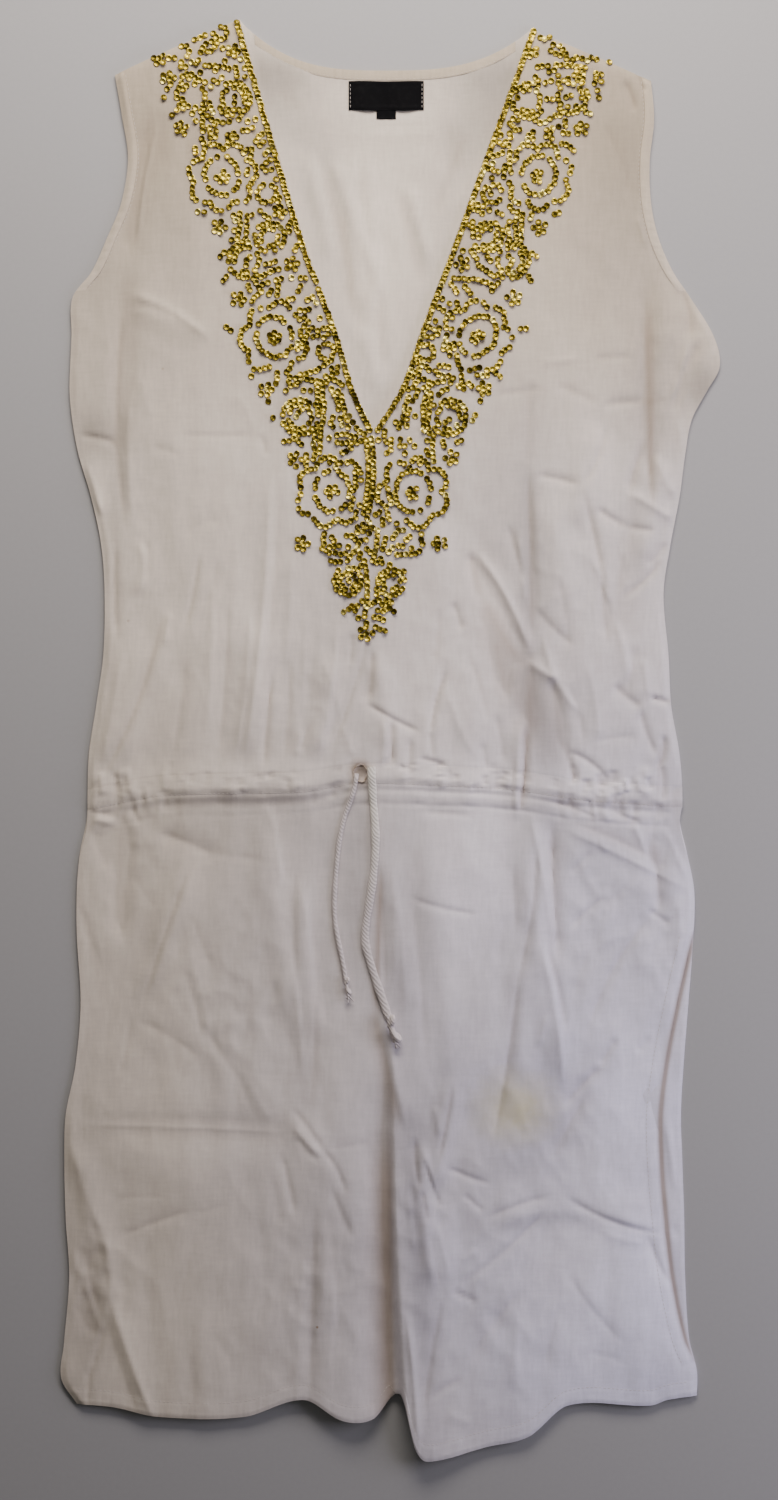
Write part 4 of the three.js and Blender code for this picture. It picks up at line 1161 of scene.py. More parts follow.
def duskiness(x, y):
    """How much brown painted shade a place gets from lying in creases and hollows."""
    creased = max(0.0, -lift_at(CREASE_BANDS, x, y))
    return 0.2 * creased + 0.12 * max(0.0, -lift_at(HOLLOW_BANDS, x, y)) + lift_at(DUSK_BANDS, x, y)


def embroidered(x, y):
    """1 on the cotton between the sequins, where painted shade darkens it, and 0 well away from them."""
    if y < SPRIG_REACH[0].y:
        return 0.0
    outer = through(SPRIG_REACH, "y", "outer", y)
    return smooth((min(x, mirror_x(x, y)) - outer + 6) / 8)


def faded(patches, x, y):
    """How much lighter or darker the cotton is painted at a place, as broad painted light and shade."""
    total = 0.0
    for patch in patches:
        dx, dy = x - patch.x, y - patch.y
        if abs(dx) + abs(dy) > 3.5 * (patch.across + patch.up):
            continue
        turn = math.radians(patch.turn)
        across = (dx * math.cos(turn) + dy * math.sin(turn)) / patch.across
        up = (dy * math.cos(turn) - dx * math.sin(turn)) / patch.up
        far = across**2 + up**2
        if far < 6:
            total += patch.tone * math.exp(-far)
    return total


def write_shades(piece, dusk, patches):
    """Store the brown painted shade and the broad painted light and shade at each vertex."""
    for name in ("hollow", "faded"):
        piece.data.attributes.new(name, "FLOAT", "POINT")
    hollow, light_and_shade = (piece.data.attributes[name].data for name in ("hollow", "faded"))
    for i, vert in enumerate(piece.data.vertices):
        x, y = vert.co.x / MM, vert.co.y / MM
        hollow[i].value = dusk(x, y)
        light_and_shade[i].value = faded(patches, x, y)


def slit_shade(side, h, off):
    """The dark line along the slit, `off` from the front's edge on either side of it."""
    if side == "left" or slit_inset(h) < 0.5:
        return 0.0
    return 2.0 * min(1, slit_inset(h) / 3) * bell((off + 0.9) / 2.1)


class TUNIC_OT_front(bpy.types.Operator):
    """Build the bodice and skirt of the front, which meet under the drawstring channel"""

    bl_idname = "tunic.front"
    bl_label = "Front"

    def execute(self, context):
        thickness = context.scene.tunic_sizes.thin_cloth

        def bodice_top(side, x, y, h, share, width):
            tucked = UNDERLAP * smooth((-h - 29) / 5)
            return front_top(side, x, y, h, share, width) - tucked

        tops = ((BODICE_BANDS, bodice_top), (SKIRT_BANDS, front_top))
        for name, (bands, top) in zip(FRONT_PIECES, tops):
            piece = front_cloth(name, bands, top, thickness)
            dress_up(piece, "Front cotton")
            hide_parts("front_panel")
        return {"FINISHED"}


# The share of the width at which each run of columns starts, and its number of columns.
BACK_COLUMNS = ((0.0, 28), (0.232, 72), (0.776, 22), (0.955, 20))
BACK_ROWS = table_of(Band, [
    (-473, -462, 6), (-462, -130, 92), (-130, 180, 70), (180, 470, 96), (470, 478, 6),
])
BACK_WIDTH = 420  # on average, for the distance from its side edges
BACK_UNDER = 0.06


def back_edge_y(x):
    """Height of the back's upper edge: shoulder, neck and shoulder."""
    left, right = SHOULDERS["left"], SHOULDERS["right"]
    if x < left.high.x:
        return mix(left.tip.y, left.high.y, (x - left.tip.x) / (left.high.x - left.tip.x))
    if x > right.high.x:
        return mix(right.tip.y, right.high.y, (x - right.tip.x) / (right.high.x - right.tip.x))
    return back_neck_y(x)


def back_share(u):
    """Uneven columns, with one at each end of the neck curve."""
    total = sum(count for _, count in BACK_COLUMNS)
    column = u * total
    starts = [start for start, _ in BACK_COLUMNS] + [1.0]
    for (start, count), end in zip(BACK_COLUMNS, starts[1:]):
        if column <= count + 1e-6:
            return mix(start, end, column / count)
        column -= count
    return 1.0


def back_place(u, v, heights):
    h = heights[round(v * (len(heights) - 1))]
    ends = [row_ends(side, h)[0].x for side in ("left", "right")]
    x = mix(ends[0], ends[1] + slit_inset(h), back_share(u))
    low = HEM_Y + BACK_SHORT
    rise = (h - UNDERARM_Y) / (SHOULDER_Y - UNDERARM_Y)
    if rise > 0:
        return x, mix(UNDERARM_Y, back_edge_y(x), rise), h
    if h < low + HEM_REACH:
        return x, h + hem_shift(x) * (1 - smooth((h - low) / HEM_REACH)), h
    return x, h, h


def back_top(x, y, h, edge):
    """Height of the back's upper face; `edge` is the distance from the nearest side edge."""
    fade = smooth(edge / 10)
    lift = 2.2 * lift_at(BACK_BANDS, x, y) + 1.1 * wander(x, y, 34, 12.5) + 0.5
    lift += 0.3 * wander(x, y, 13, 3.5) - 0.9 * abs(wander(0.8 * x + 0.6 * y, 0.8 * y - 0.6 * x, 26, 7.5))
    if y > LABEL_Y - LABEL_HEIGHT - 14 and abs(x - LABEL_X) < LABEL_WIDTH:
        lift *= 0.25
    seen = 0.0
    if y > V_POINT.y:
        low, high = neck_edge("left", y), neck_edge("right", y)
        seen = smooth((x - low - 2) / 8) * smooth((high - x - 2) / 8) * smooth((y - 236) / 30)
    elif SLIT_TO - 8 < y < SLIT_FROM + 8 and x > SHOULDERS["right"].tip.x - 10:
        seen = 1.0
    neck = back_edge_y(x) - y
    roll = 0.55 * (1 - smooth(min(edge, h - HEM_Y - BACK_SHORT + 0.4) / 2.6))
    lifted = max(-0.25, min(2.0, lift * seen * fade * smooth(neck / 12)))
    return CLOTH + lifted - roll


def back_dusk(x, y):
    """How much brown painted shade the back gets, along the slit and in its drags."""
    if SLIT_TO < y < SLIT_FROM and x > SHOULDERS["right"].tip.x - 10:
        return slit_shade("right", y, row_ends("right", y)[0].x - x)
    return max(0.0, -0.5 * lift_at(BACK_BANDS, x, y))


class TUNIC_OT_back(bpy.types.Operator):
    """Build the back in one layer, seen through the neck opening and along the slit"""

    bl_idname = "tunic.back"
    bl_label = "Back"

    def execute(self, context):
        heights = heights_of(BACK_ROWS)
        columns = sum(count for _, count in BACK_COLUMNS)

        def upper(u, v):
            x, y, h = back_place(u, v, heights)
            share = back_share(u)
            return x, y, back_top(x, y, h, min(share, 1 - share) * BACK_WIDTH)

        def lower(u, v):
            x, y, _ = back_place(u, v, heights)
            return x, y, BACK_UNDER

        piece = slab("back_cloth", columns, len(heights) - 1, upper, lower)
        write_shades(piece, back_dusk, BACK_PATCHES)
        dress_up(piece, "Back cotton")
        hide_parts("back_panel")
        return {"FINISHED"}


CASING_COLUMNS = {"left": 110, "right": 130}
CASING_ROWS = 16


def side_at(x, h):
    """Which half of the front x lies in, with its share and width at height h."""
    side = "left" if x < centre_line(h) else "right"
    outer, inner = row_ends(side, h)
    width = abs(outer.x - inner.x)
    return side, min(1.0, abs(x - inner.x) / width), width


def casing_base(x, y):
    """Height of the front under the channel."""
    side, share, width = side_at(x, CASING_Y)
    h = y - casing_at(x) + CASING_Y
    return front_top(side, x, y, h, share, width)


def casing_puff(x, t):
    """Height of the channel above the front, t of the way up from its lower stitching."""
    full = smooth(t / 0.34) * (1 - smooth((t - 0.34) / 0.66))
    slack = 1 + 0.5 * wander(x, 0, 14, 5.5) + 0.35 * wander(x, 0, 6, 1.5)
    share = mix(0.62, 0.4, droop(x) / DROOP)
    return share * fullness(x) * slack * full


class TUNIC_OT_waist_casing(bpy.types.Operator):
    """Build the two halves of the drawstring channel, with the eyelet between them"""

    bl_idname = "tunic.waist_casing"
    bl_label = "Waist casing"

    def execute(self, context):
        for side, inward in (("left", -1), ("right", 1)):
            seam = row_ends(side, CASING_Y)[0].x

            def place(u, v, seam=seam, inward=inward):
                rough_y = mix(-0.5, 0.5, v) * CASING_HEIGHT + casing_at(EYELET_X)
                open_share = (rough_y - EYELET_Y) / EYELET_HALF_HEIGHT
                notch = math.sqrt(max(0.0, 1 - open_share**2)) * EYELET_HALF_WIDTH
                eyelet = EYELET_X + inward * notch
                x = mix(seam, eyelet, u) if inward < 0 else mix(eyelet, seam, u)
                y = casing_at(x) + mix(-0.5, 0.5, v) * CASING_HEIGHT
                y += 0.35 * wander(x, 0, 12, 6.5) * (1 - v)
                return x, y

            def upper(u, v, place=place):
                x, y = place(u, v)
                worn = math.hypot((x - EYELET_X) / 9, (y - EYELET_Y) / 9)
                puff = casing_puff(x, v) * mix(0.62, 1, smooth(worn - 0.5))
                fine = 0.3 * wander(x, y, 7, 7.5) * smooth(v / 0.2) * smooth((1 - v) / 0.2)
                lip = mix(0.2, -0.03, smooth((v - 0.2) / 0.8)) - 0.25 * (1 - smooth(v / 0.1))
                return x, y, casing_base(x, y) + max(lip, lip + puff + fine * (1 - v))

            def lower(u, v, place=place):
                x, y = place(u, v)
                return x, y, casing_base(x, y) - 0.25

            piece = slab(f"waist_casing_{side}_cloth", CASING_COLUMNS[side], CASING_ROWS, upper, lower)
            write_shades(piece, duskiness, FRONT_PATCHES)
            dress_up(piece, "Trim cotton")
            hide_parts(f"waist_casing_{side}")
        eyelet_ring()
        return {"FINISHED"}


def eyelet_ring():
    """The worn, stitched edge of the eyelet: an uneven thin ring."""
    bm = bmesh.new()
    ring = bmesh.ops.create_circle(bm, cap_ends=False, radius=0.45, segments=7)
    bmesh.ops.rotate(bm, verts=ring["verts"], matrix=Matrix.Rotation(math.radians(90), 3, "X"))
    bmesh.ops.translate(bm, verts=ring["verts"], vec=Vector((EYELET_HALF_WIDTH, 0, 0)))
    bmesh.ops.spin(bm, geom=bm.edges[:] + bm.verts[:], cent=(0, 0, 0), axis=(0, 0, 1),
                   angle=2 * math.pi, steps=40, use_merge=True)
    bmesh.ops.recalc_face_normals(bm, faces=bm.faces[:])
    for vert in bm.verts:
        x, y, z = vert.co
        turn = math.atan2(y, x)
        radius = math.hypot(x, y) + 0.35 * math.sin(5 * turn + 1) + 0.2 * math.sin(17 * turn)
        across, up = polar(radius, turn)
        px, py = EYELET_X + across, EYELET_Y + up * EYELET_HALF_HEIGHT / EYELET_HALF_WIDTH
        rise = casing_base(px, py) + 1.5 + 0.35 * math.sin(3 * turn + 2)
        vert.co = Vector((px, py, rise + z)) * MM
    piece = finish_mesh("eyelet_edge", bm)
    dress_up(piece, "Worn eyelet")


BAND_COLUMNS, BAND_ROWS = 8, 150
RIBBED_FROM, RIBBED_TO = 322, 418  # heights between which the bands' puckers fade out


class TUNIC_OT_armhole_bands(bpy.types.Operator):
    """Build the puckered bands that finish the armholes"""

    bl_idname = "tunic.armhole_bands"
    bl_label = "Armhole bands"

    def execute(self, context):
        for side in ("left", "right"):

            def place(u, v, side=side):
                h = mix(UNDERARM_Y + 2, SHOULDER_Y - 1, v)
                ends = row_ends(side, h)
                across = 1 - u if side == "left" else u
                share = mix(1 - BAND_WIDTH / row_width(ends), 1, across)
                x, y, width = front_place(h, ends, share)
                return x, y, h, share, width, across

            def upper(u, v, side=side, place=place):
                x, y, h, share, width, across = place(u, v)
                strength = smooth((RIBBED_TO - h) / 40) * smooth((h - RIBBED_FROM) / 14)
                rib = 0.12 * strength * math.sin(h / 1.1 + 4 * wander(x, y, 9, 3.5))
                body = 0.3 + 0.5 * math.sin(math.pi * min(1, 0.12 + across * 0.9)) ** 0.6
                body = mix(0.1, body, smooth((h - UNDERARM_Y - 2) / 9))
                rib *= math.sin(math.pi * across)
                return x, y, front_top(side, x, y, h, share, width) + body + rib

            def lower(u, v, side=side, place=place):
                x, y, h, share, width, _ = place(u, v)
                return x, y, front_top(side, x, y, h, share, width) + 0.04

            piece = slab(f"armhole_band_{side}_cloth", BAND_COLUMNS, BAND_ROWS, upper, lower)
            dress_up(piece, "Trim cotton")
            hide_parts(f"armhole_band_{side}")
        return {"FINISHED"}


FACING_COLUMNS, FACING_ROWS = 170, 6
FACING_INSET = 11  # the facing stops this short of the high shoulders
LABEL_COLUMNS, LABEL_ROWS = 60, 22
LABEL_THICKNESS = 0.45
Label = namedtuple("Label", "piece node width height top wave")
LABELS = table_of(Label, [
    ("neck_label_satin", "neck_label", LABEL_WIDTH, LABEL_HEIGHT, LABEL_Y, 0.55),
    ("size_tab_satin", "size_tab", TAB_WIDTH, TAB_HEIGHT + 1, LABEL_Y - LABEL_HEIGHT + 0.7, 0.1),
])


def facing_place(u, v):
    x = mix(SHOULDERS["left"].high.x + FACING_INSET, SHOULDERS["right"].high.x - FACING_INSET, u)
    return x, back_neck_y(x) - FACING_WIDTH * (1 - v)


def facing_upper(u, v):
    x, y = facing_place(u, v)
    pucker = 0.1 * wander(x, 0, 3, 4.5) + 0.12 * wander(x, y, 8, 6.5)
    return x, y, CLOTH + 0.26 + 0.3 * math.sin(math.pi * mix(0.12, 0.85, v)) + pucker


def facing_lower(u, v):
    return *facing_place(u, v), CLOTH + 0.06


def label_upper(label, u, v):
    """The woven label's upper face: it waves at its free edge and is folded at both."""
    x = LABEL_X + label.width * (u - 0.5)
    ripple = label.wave * (0.7 * math.sin(2 * math.pi * (2.1 * u + 0.2)) - 0.5)
    y = label.top - label.height * (1 - v) + ripple * (1 - v) + 0.3 * label.wave * math.sin(9 * u)
    lift = label.wave * (1 - math.cos(4 * math.pi * u + 1.2 * v)) * (1.1 - v)
    fold = 0.25 * bell((v - 0.1) / 0.05) + 0.2 * bell((v - 0.93) / 0.04)
    return x, y, CLOTH + 0.85 + lift + fold


def label_lower(label, u, v):
    x, y, z = label_upper(label, u, v)
    return x, y, z - LABEL_THICKNESS


class TUNIC_OT_neck(bpy.types.Operator):
    """Build the back neck's facing, the bare woven label and its size tab"""

    bl_idname = "tunic.neck"
    bl_label = "Neck facing and label"

    def execute(self, context):
        facing = slab("neck_facing_cloth", FACING_COLUMNS, FACING_ROWS, facing_upper, facing_lower)
        dress_up(facing, "Trim cotton")
        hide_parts("neck_facing")

        for label in LABELS:
            piece = slab(label.piece, LABEL_COLUMNS, LABEL_ROWS,
                         partial(label_upper, label), partial(label_lower, label))
            dress_up(piece, "Label satin")
            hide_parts(label.node)
        return {"FINISHED"}


# ---- drawstring ---------------------------------------------------------------------

FLATNESS = {"left": 0.62, "right": 0.4}  # a tie's thickness as a share of its width
CORD_STEPS = 6  # points between two of the route's own
CORD_SEEDS = {"left": 17, "right": 23}
KNOT_SEEDS = {"left": 31, "right": 37}


def smooth_route(points, steps):
    """More points on the smooth curve through these ones."""
    out = []
    for i in range(len(points) - 1):
        before, a, b, after = (points[max(0, i - 1)], points[i], points[i + 1],
                               points[min(len(points) - 1, i + 2)])
        for k in range(steps):
            t = k / steps
            out.append(0.5 * (2 * a + (b - before) * t + (2 * before - 5 * a + 4 * b - after) * t**2
                              + (3 * a - before - 3 * b + after) * t**3))
    return out + [points[-1]]


def swept(name, runs, flatness, sides=12, z_up=True):
    """Closed flattened tubes along runs of (point in mm, half width in mm), as one mesh."""
    profile_data = bpy.data.curves.new("profile", "CURVE")
    profile_data.dimensions = "2D"
    ring = profile_data.splines.new("POLY")
    ring.points.add(sides - 1)
    for i, point in enumerate(ring.points):
        turn = 2 * math.pi * i / sides
        point.co = (math.cos(turn) * MM, flatness * math.sin(turn) * MM, 0, 1)
    ring.use_cyclic_u = True
    profile = bpy.data.objects.new("profile", profile_data)
    curve = bpy.data.curves.new(name, "CURVE")
    curve.dimensions = "3D"
    curve.bevel_mode = "OBJECT"
    curve.bevel_object = profile
    curve.use_fill_caps = True
    curve.twist_mode = "Z_UP" if z_up else "MINIMUM"
    for run in runs:
        spline = curve.splines.new("POLY")
        spline.points.add(len(run) - 1)
        for point, (where, half) in zip(spline.points, run):
            point.co = (*(where * MM), 1)
            point.radius = half
    holder = bpy.data.objects.new(name, curve)
    for item in (profile, holder):
        bpy.context.scene.collection.objects.link(item)
    bpy.context.view_layer.update()
    depsgraph = bpy.context.evaluated_depsgraph_get()
    made = bpy.data.meshes.new_from_object(holder.evaluated_get(depsgraph))
    for item in (holder, profile):
        bpy.data.objects.remove(item)
    bm = bmesh.new()
    bm.from_mesh(made)
    bmesh.ops.remove_doubles(bm, verts=bm.verts[:], dist=1e-7)
    bmesh.ops.recalc_face_normals(bm, faces=bm.faces[:])
    return finish_mesh(name, bm)


def cord_line(side, route, surface):
    """The tie's middle line on the cloth, starting inside the eyelet."""
    half = CORD_WIDTHS[side] / 2
    thick = half * FLATNESS[side]
    flat = smooth_route([Vector(point) for point in route], CORD_STEPS)
    line = []
    for spot in flat:
        under = max(surface(spot.x + shift, spot.y)[0] for shift in (-half, -half / 2, 0, half / 2, half))
        line.append(Vector((spot.x, spot.y, under + thick + 0.06)))
    for _ in range(3):
        line = [line[0]] + [
            Vector((p.x, p.y, max(p.z, (a.z + p.z + b.z) / 3)))
            for a, p, b in zip(line, line[1:], line[2:])
        ] + [line[-1]]
    return line


def knot_runs(end, heading, half, seed):
    """An overhand knot at the end of a tie, and the loose threads beyond it."""
    aside = Vector((-heading.y, heading.x, 0))
    up = Vector((0, 0, 1))
    size = 1.15 * half
    knot = []
    steps = 34
    for i in range(steps + 1):
        t = mix(-2.3, 2.3, i / steps)
        along = 1.35 * size * (0.85 * t + 1.15 * math.sin(2 * t)) + 2.2 * size
        across = 1.1 * size * (math.cos(t) - 0.9 * math.cos(2 * t)) * 0.75
        rise = 0.42 * size * math.sin(3 * t)
        knot.append((end + heading * along + aside * across + up * (rise + 0.3 * size), 0.78 * half))
    rnd = random.Random(seed)
    start = end + heading * 4.6 * size + up * 0.9 * size
    threads = []
    for _ in range(11):
        bend = rnd.uniform(-0.4, 0.4)
        lean = rnd.uniform(-0.4, 0.4)
        length = rnd.uniform(3.6, 7.5)
        run = []
        for k in range(7):
            t = k / 6
            swing = lean * t + bend * t * t
            where = start + heading * length * t + aside * (length * swing * 0.7 + rnd.uniform(-0.1, 0.1))
            where += up * (rnd.uniform(-0.15, 0.15) - 0.5 * size * t)
            run.append((where, mix(0.62, 0.34, t)))
        threads.append(run)
    core = [(end + heading * size * k + up * 0.35 * size, 0.72 * half) for k in range(-1, 6)]
    return [knot, core], threads


class TUNIC_OT_drawstrings(bpy.types.Operator):
    """Build the drawstring's two free ends, each with its knot and loose threads"""

    bl_idname = "tunic.drawstrings"
    bl_label = "Drawstrings"

    def execute(self, context):
        surface = top_of(*LAYERS)
        for side, route in CORDS.items():
            half = CORD_WIDTHS[side] / 2
            line = cord_line(side, route, surface)
            phase = random.Random(CORD_SEEDS[side]).uniform(0, 6)
            run = [(spot, half * (1 + 0.07 * math.sin(i / 3.1 + phase) + 0.04 * math.sin(i / 1.3)))
                   for i, spot in enumerate(line)]
            tie = swept(f"drawstring_{side}_tie", [run], FLATNESS[side])
            dress_up(tie, "Drawstring cotton")
            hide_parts(f"drawstring_{side}")
            heading = line[-1] - line[-4]
            heading.z = 0
            heading.normalize()
            knots, threads = knot_runs(line[-1], heading, half, KNOT_SEEDS[side])
            lift = max(surface(p.x, p.y)[0] for p, _ in knots[0]) + 0.5 * half
            sunk = max(0.0, lift - min(p.z - r * 0.8 for p, r in knots[0]))
            raise_by = Vector((0, 0, sunk))
            knots = [[(p + raise_by, r) for p, r in run] for run in knots]
            threads = [[(Vector((p.x, p.y, max(p.z + sunk, surface(p.x, p.y)[0] + r + 0.05))), r)
                        for p, r in run] for run in threads]
            knot = swept(f"drawstring_{side}_knot", knots + threads, 0.9, sides=8, z_up=False)
            dress_up(knot, "Drawstring cotton")
            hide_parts(f"drawstring_knot_{side}")
            length = sum((b - a).length for a, b in zip(line, line[1:]))
            line[0] * MM
            CORD_WIDTHS[side] * MM
        return {"FINISHED"}


# ---- sequins ------------------------------------------------------------------------


def resample(points, pitch, closed=False):
    """Points a pitch apart along a line."""
    if closed:
        points = points + [points[0]]
    runs = [math.dist(a, b) for a, b in zip(points, points[1:])]
    total = sum(runs)
    count = max(1, round(total / pitch))
    out = []
    k, done = 0, 0.0
    for i in range(count if closed else count + 1):
        want = total * i / count
        while k < len(runs) - 1 and done + runs[k] < want:
            done += runs[k]
            k += 1
        t = (want - done) / runs[k] if runs[k] else 0
        (ax, ay), (bx, by) = points[k], points[k + 1]
        out.append((mix(ax, bx, t), mix(ay, by, t)))
    return out


def turned(points, x, y, degrees):
    c, s = polar(1, math.radians(degrees))
    return [(x + c * px - s * py, y + s * px + c * py) for px, py in points]


def circle(radius, count=48):
    return [polar(radius, 2 * math.pi * i / count) for i in range(count)]


def dot(size, pitch):
    return [(0, 0)]


def flower(size, pitch, petals=5):
    return [(0, 0)] + circle(0.84 * size, petals)


def ring(size, pitch):
    return resample(circle(size), pitch, True)


def twin_ring(size, pitch):
    return ring(size, pitch) + ring(size * 0.6, pitch)


def arc(radius, start, end, pitch):
    return resample([polar(radius, math.radians(turn)) for turn in spread(start, end, 24)], pitch)


def crescent(size, pitch):
    """A curl of two rows, thick at its back and single at its open end."""
    return (arc(size, 40, 300, pitch) + arc(size - 3.9, 70, 270, pitch)
            + arc(size - 3.9, -80, 30, pitch * 1.25))


def rosette(size, pitch):
    rim = []
    for i in range(180):
        a = 2 * math.pi * i / 180
        r = size * (0.8 + 0.2 * abs(math.cos(3.5 * a)) + 0.05 * math.sin(2 * a + 1))
        rim.append((r * math.cos(a), 1.06 * r * math.sin(a)))
    inner = [(0.94 * x, 1.1 * y + 0.8) for x, y in circle(size * 0.54)]
    return flower(4.4, pitch, 6) + resample(inner, pitch, True) + resample(rim, pitch, True)


def stem(size, pitch):
    return resample([(size * i / 12, size * 0.05 * math.sin(math.pi * i / 12)) for i in range(13)], pitch)


def bar(size, pitch):
    row = stem(size, pitch)
    return [(x, y + 1.9) for x, y in row] + [(x + 0.4 * pitch, y - 1.9) for x, y in row]


def leaf(size, pitch):
    up = resample([(size * i / 16, 2.9 * math.sin(math.pi * i / 16) ** 0.6) for i in range(17)], pitch)
    return up + [(x, -y) for x, y in up[1:-1]]


def wave(size, pitch):
    turns = max(1, round(size / 9))
    return resample([(size * i / 48, 2.4 * math.sin(2 * math.pi * turns * i / 48)) for i in range(49)],
                    pitch * 0.9)


Motif = namedtuple("Motif", "kind x y size turn", defaults=[0, 0])
# One side's motifs, from the shoulder to the point; the other side mirrors them loosely.
MOTIFS = table_of(Motif, [
    (rosette, -121, 404, 24, 10), (rosette, -83, 289, 25, 30), (rosette, -42, 177, 25),
    # shoulder
    (ring, -121, 507, 4.6), (leaf, -135, 493, 13, 28), (stem, -157, 498, 14), (flower, -112, 494, 4.6),
    (flower, -166, 489, 4.5, 20), (wave, -159, 489, 22), (stem, -150, 483, 34, 2), (flower, -146, 477, 4),
    (flower, -126, 483, 4), (stem, -139, 503, 8, 20), (stem, -144, 498, 13, 268),
    (flower, -159, 475, 4.8), (dot, -160, 466), (dot, -162, 461), (dot, -156, 449), (dot, -153, 450),
    (crescent, -141, 462, 12.5, 10), (crescent, -112, 459, 12, 180), (stem, -127, 473, 8, 330),
    (stem, -138, 449, 15, 332), (stem, -120, 443, 12, 12), (leaf, -106, 437, 12, 42),
    (flower, -150, 438, 4.8, 10), (bar, -128, 441, 12, 272), (flower, -113, 433, 3.9),
    (leaf, -83, 440, 20, 222), (leaf, -79, 418, 16, 216), (ring, -88, 392, 6.6),
    (stem, -80, 403, 16, 268), (flower, -79, 380, 4.4), (stem, -108, 426, 9, 330), (dot, -98, 457),
    (dot, -94, 459), (dot, -105, 482), (dot, -102, 486), (dot, -137, 379), (dot, -134, 377),
    (stem, -99, 424, 18, 262), (stem, -98, 404, 16, 258),
    # between the first and second rosettes
    (flower, -123, 367, 4.9), (bar, -109, 378, 18, 268), (stem, -102, 372, 12, 265),
    (twin_ring, -86, 361, 10.5), (flower, -73, 369, 3.9), (stem, -92, 379, 14, 205),
    (crescent, -103, 344, 13, 5), (ring, -99, 343, 5.2), (flower, -70, 342, 4.8),
    (stem, -92, 333, 14, 28), (stem, -91, 327, 30, 8), (stem, -61, 332, 12, 238),
    (stem, -98, 331, 10, 300), (flower, -108, 317, 5.3), (dot, -122, 347), (dot, -119, 349),
    (dot, -119, 329), (dot, -117, 332), (leaf, -50, 319, 19, 220), (leaf, -41, 293, 13, 186),
    (dot, -50, 303), (dot, -53, 301), (flower, -57, 293, 3.8), (ring, -46, 278, 5.6),
    (stem, -41, 272, 25, 202), (flower, -39, 264, 4.2), (dot, -117, 295), (dot, -114, 294),
    (dot, -100, 261), (dot, -97, 263), (flower, -64, 283, 3.8), (stem, -72, 268, 17, 262),
    (stem, -67, 259, 22, 346), (stem, -46, 260, 14, 330), (stem, -56, 350, 14, 286),
    (wave, -62, 308, 18, 262),
    # between the second and third rosettes
    (flower, -89, 251, 4.9), (dot, -87, 243), (crescent, -65, 231, 12.5, 20), (stem, -68, 242, 18, 350),
    (bar, -51, 256, 38, 268), (bar, -40, 253, 22, 290), (stem, -35, 251, 17, 275),
    (flower, -31, 228, 4.9), (dot, -84, 232), (dot, -82, 229), (dot, -75, 214), (dot, -72, 213),
    (flower, -68, 201, 5.1), (leaf, -21, 214, 23, 180), (bar, -53, 218, 22, 270),
    (stem, -47, 199, 26, 358), (stem, -61, 257, 14, 200), (wave, -30, 212, 20, 245),
    (stem, -24, 196, 30, 262),
    # below the third rosette
    (stem, -24, 144, 14, 282), (flower, -63, 141, 5.1), (leaf, -23, 136, 26, 180),
    (stem, -27, 136, 18, 180), (twin_ring, -29.5, 113, 9.6), (stem, -38, 121, 20, 14),
    (stem, -36, 104, 18, 342), (flower, -27, 96, 3.9), (dot, -33, 92), (stem, -24, 122, 22, 285),
])
# What lies on the middle line, below the neck's point.
POINT_MOTIFS = table_of(Motif, [
    (bar, -15, 216, 52, 268), (flower, -14, 210, 4), (flower, -16, 152, 4.8), (stem, -9, 150, 22, 262),
    (stem, -18, 128, 40, 270), (flower, -17, 97, 4.2), (stem, -17, 90, 10, 270), (flower, -17, 76, 5.4),
    (dot, -16, 159),
])
# How far the small sprigs reach that fill the gaps between the motifs.
Reach = namedtuple("Reach", "y outer")
SPRIG_REACH = table_of(Reach, [
    (72, -19), (96, -26), (112, -34), (140, -48), (178, -60), (214, -66), (250, -80), (290, -98),
    (340, -108), (370, -118), (404, -136), (440, -146), (480, -158), (508, -140),
])
SPRIG_FROM, SPRIG_TO, SPRIG_TRIES = 80, 506, 1600
SPRIG_CLEAR = 4.5
ROSETTE_CLEAR = 23
EDGE_INSET = 2.7  # from the neck's edge to the first row of sequins
EDGE_CLEAR = 5.6
LEAST_GAP = 2.95
AXIS_X, AXIS_Y, AXIS_RUN, AXIS_RISE = -12.5, 181, 5.5, 224  # a point of the axis, and its slant
SEQUIN_PARTS = ("point", "left", "right")


def mirror_x(x, y):
    """The same place on the other side of the embroidery's slightly slanted axis."""
    return 2 * (AXIS_X + AXIS_RUN * (y - AXIS_Y) / AXIS_RISE) - x


def inner_limit(y, middle):
    """How far inwards the motifs may reach: near the neck's edge, or to a middle line."""
    return neck_edge("left", y) - EDGE_CLEAR if y > V_POINT.y else middle


def sequin_spots(side, pitch, rnd):
    """Where one side's sequins sit."""
    edge = [(neck_edge("left", y), y) for y in range(222, 519, 8)]
    row = resample([(x - EDGE_INSET, y) for x, y in edge], pitch * 0.88)
    row = [(x + rnd.uniform(-0.35, 0.35), y) for x, y in row]
    spots = []
    for motif in MOTIFS:
        x, y = motif.x + rnd.uniform(-0.8, 0.8), motif.y + rnd.uniform(-0.8, 0.8)
        spots += turned(motif.kind(motif.size, pitch), x, y, motif.turn + rnd.uniform(-5, 5))
    spots = [(x + rnd.uniform(-0.6, 0.6), y + rnd.uniform(-0.6, 0.6)) for x, y in spots]
    kept = [(x, y) for x, y in spots if x < inner_limit(y, -13.5)]
    if side == "right":
        kept = [(mirror_x(x, y), y) for x, y in kept]
        row = [(neck_edge("right", y) + EDGE_INSET, y) for _, y in row]
    return row + kept


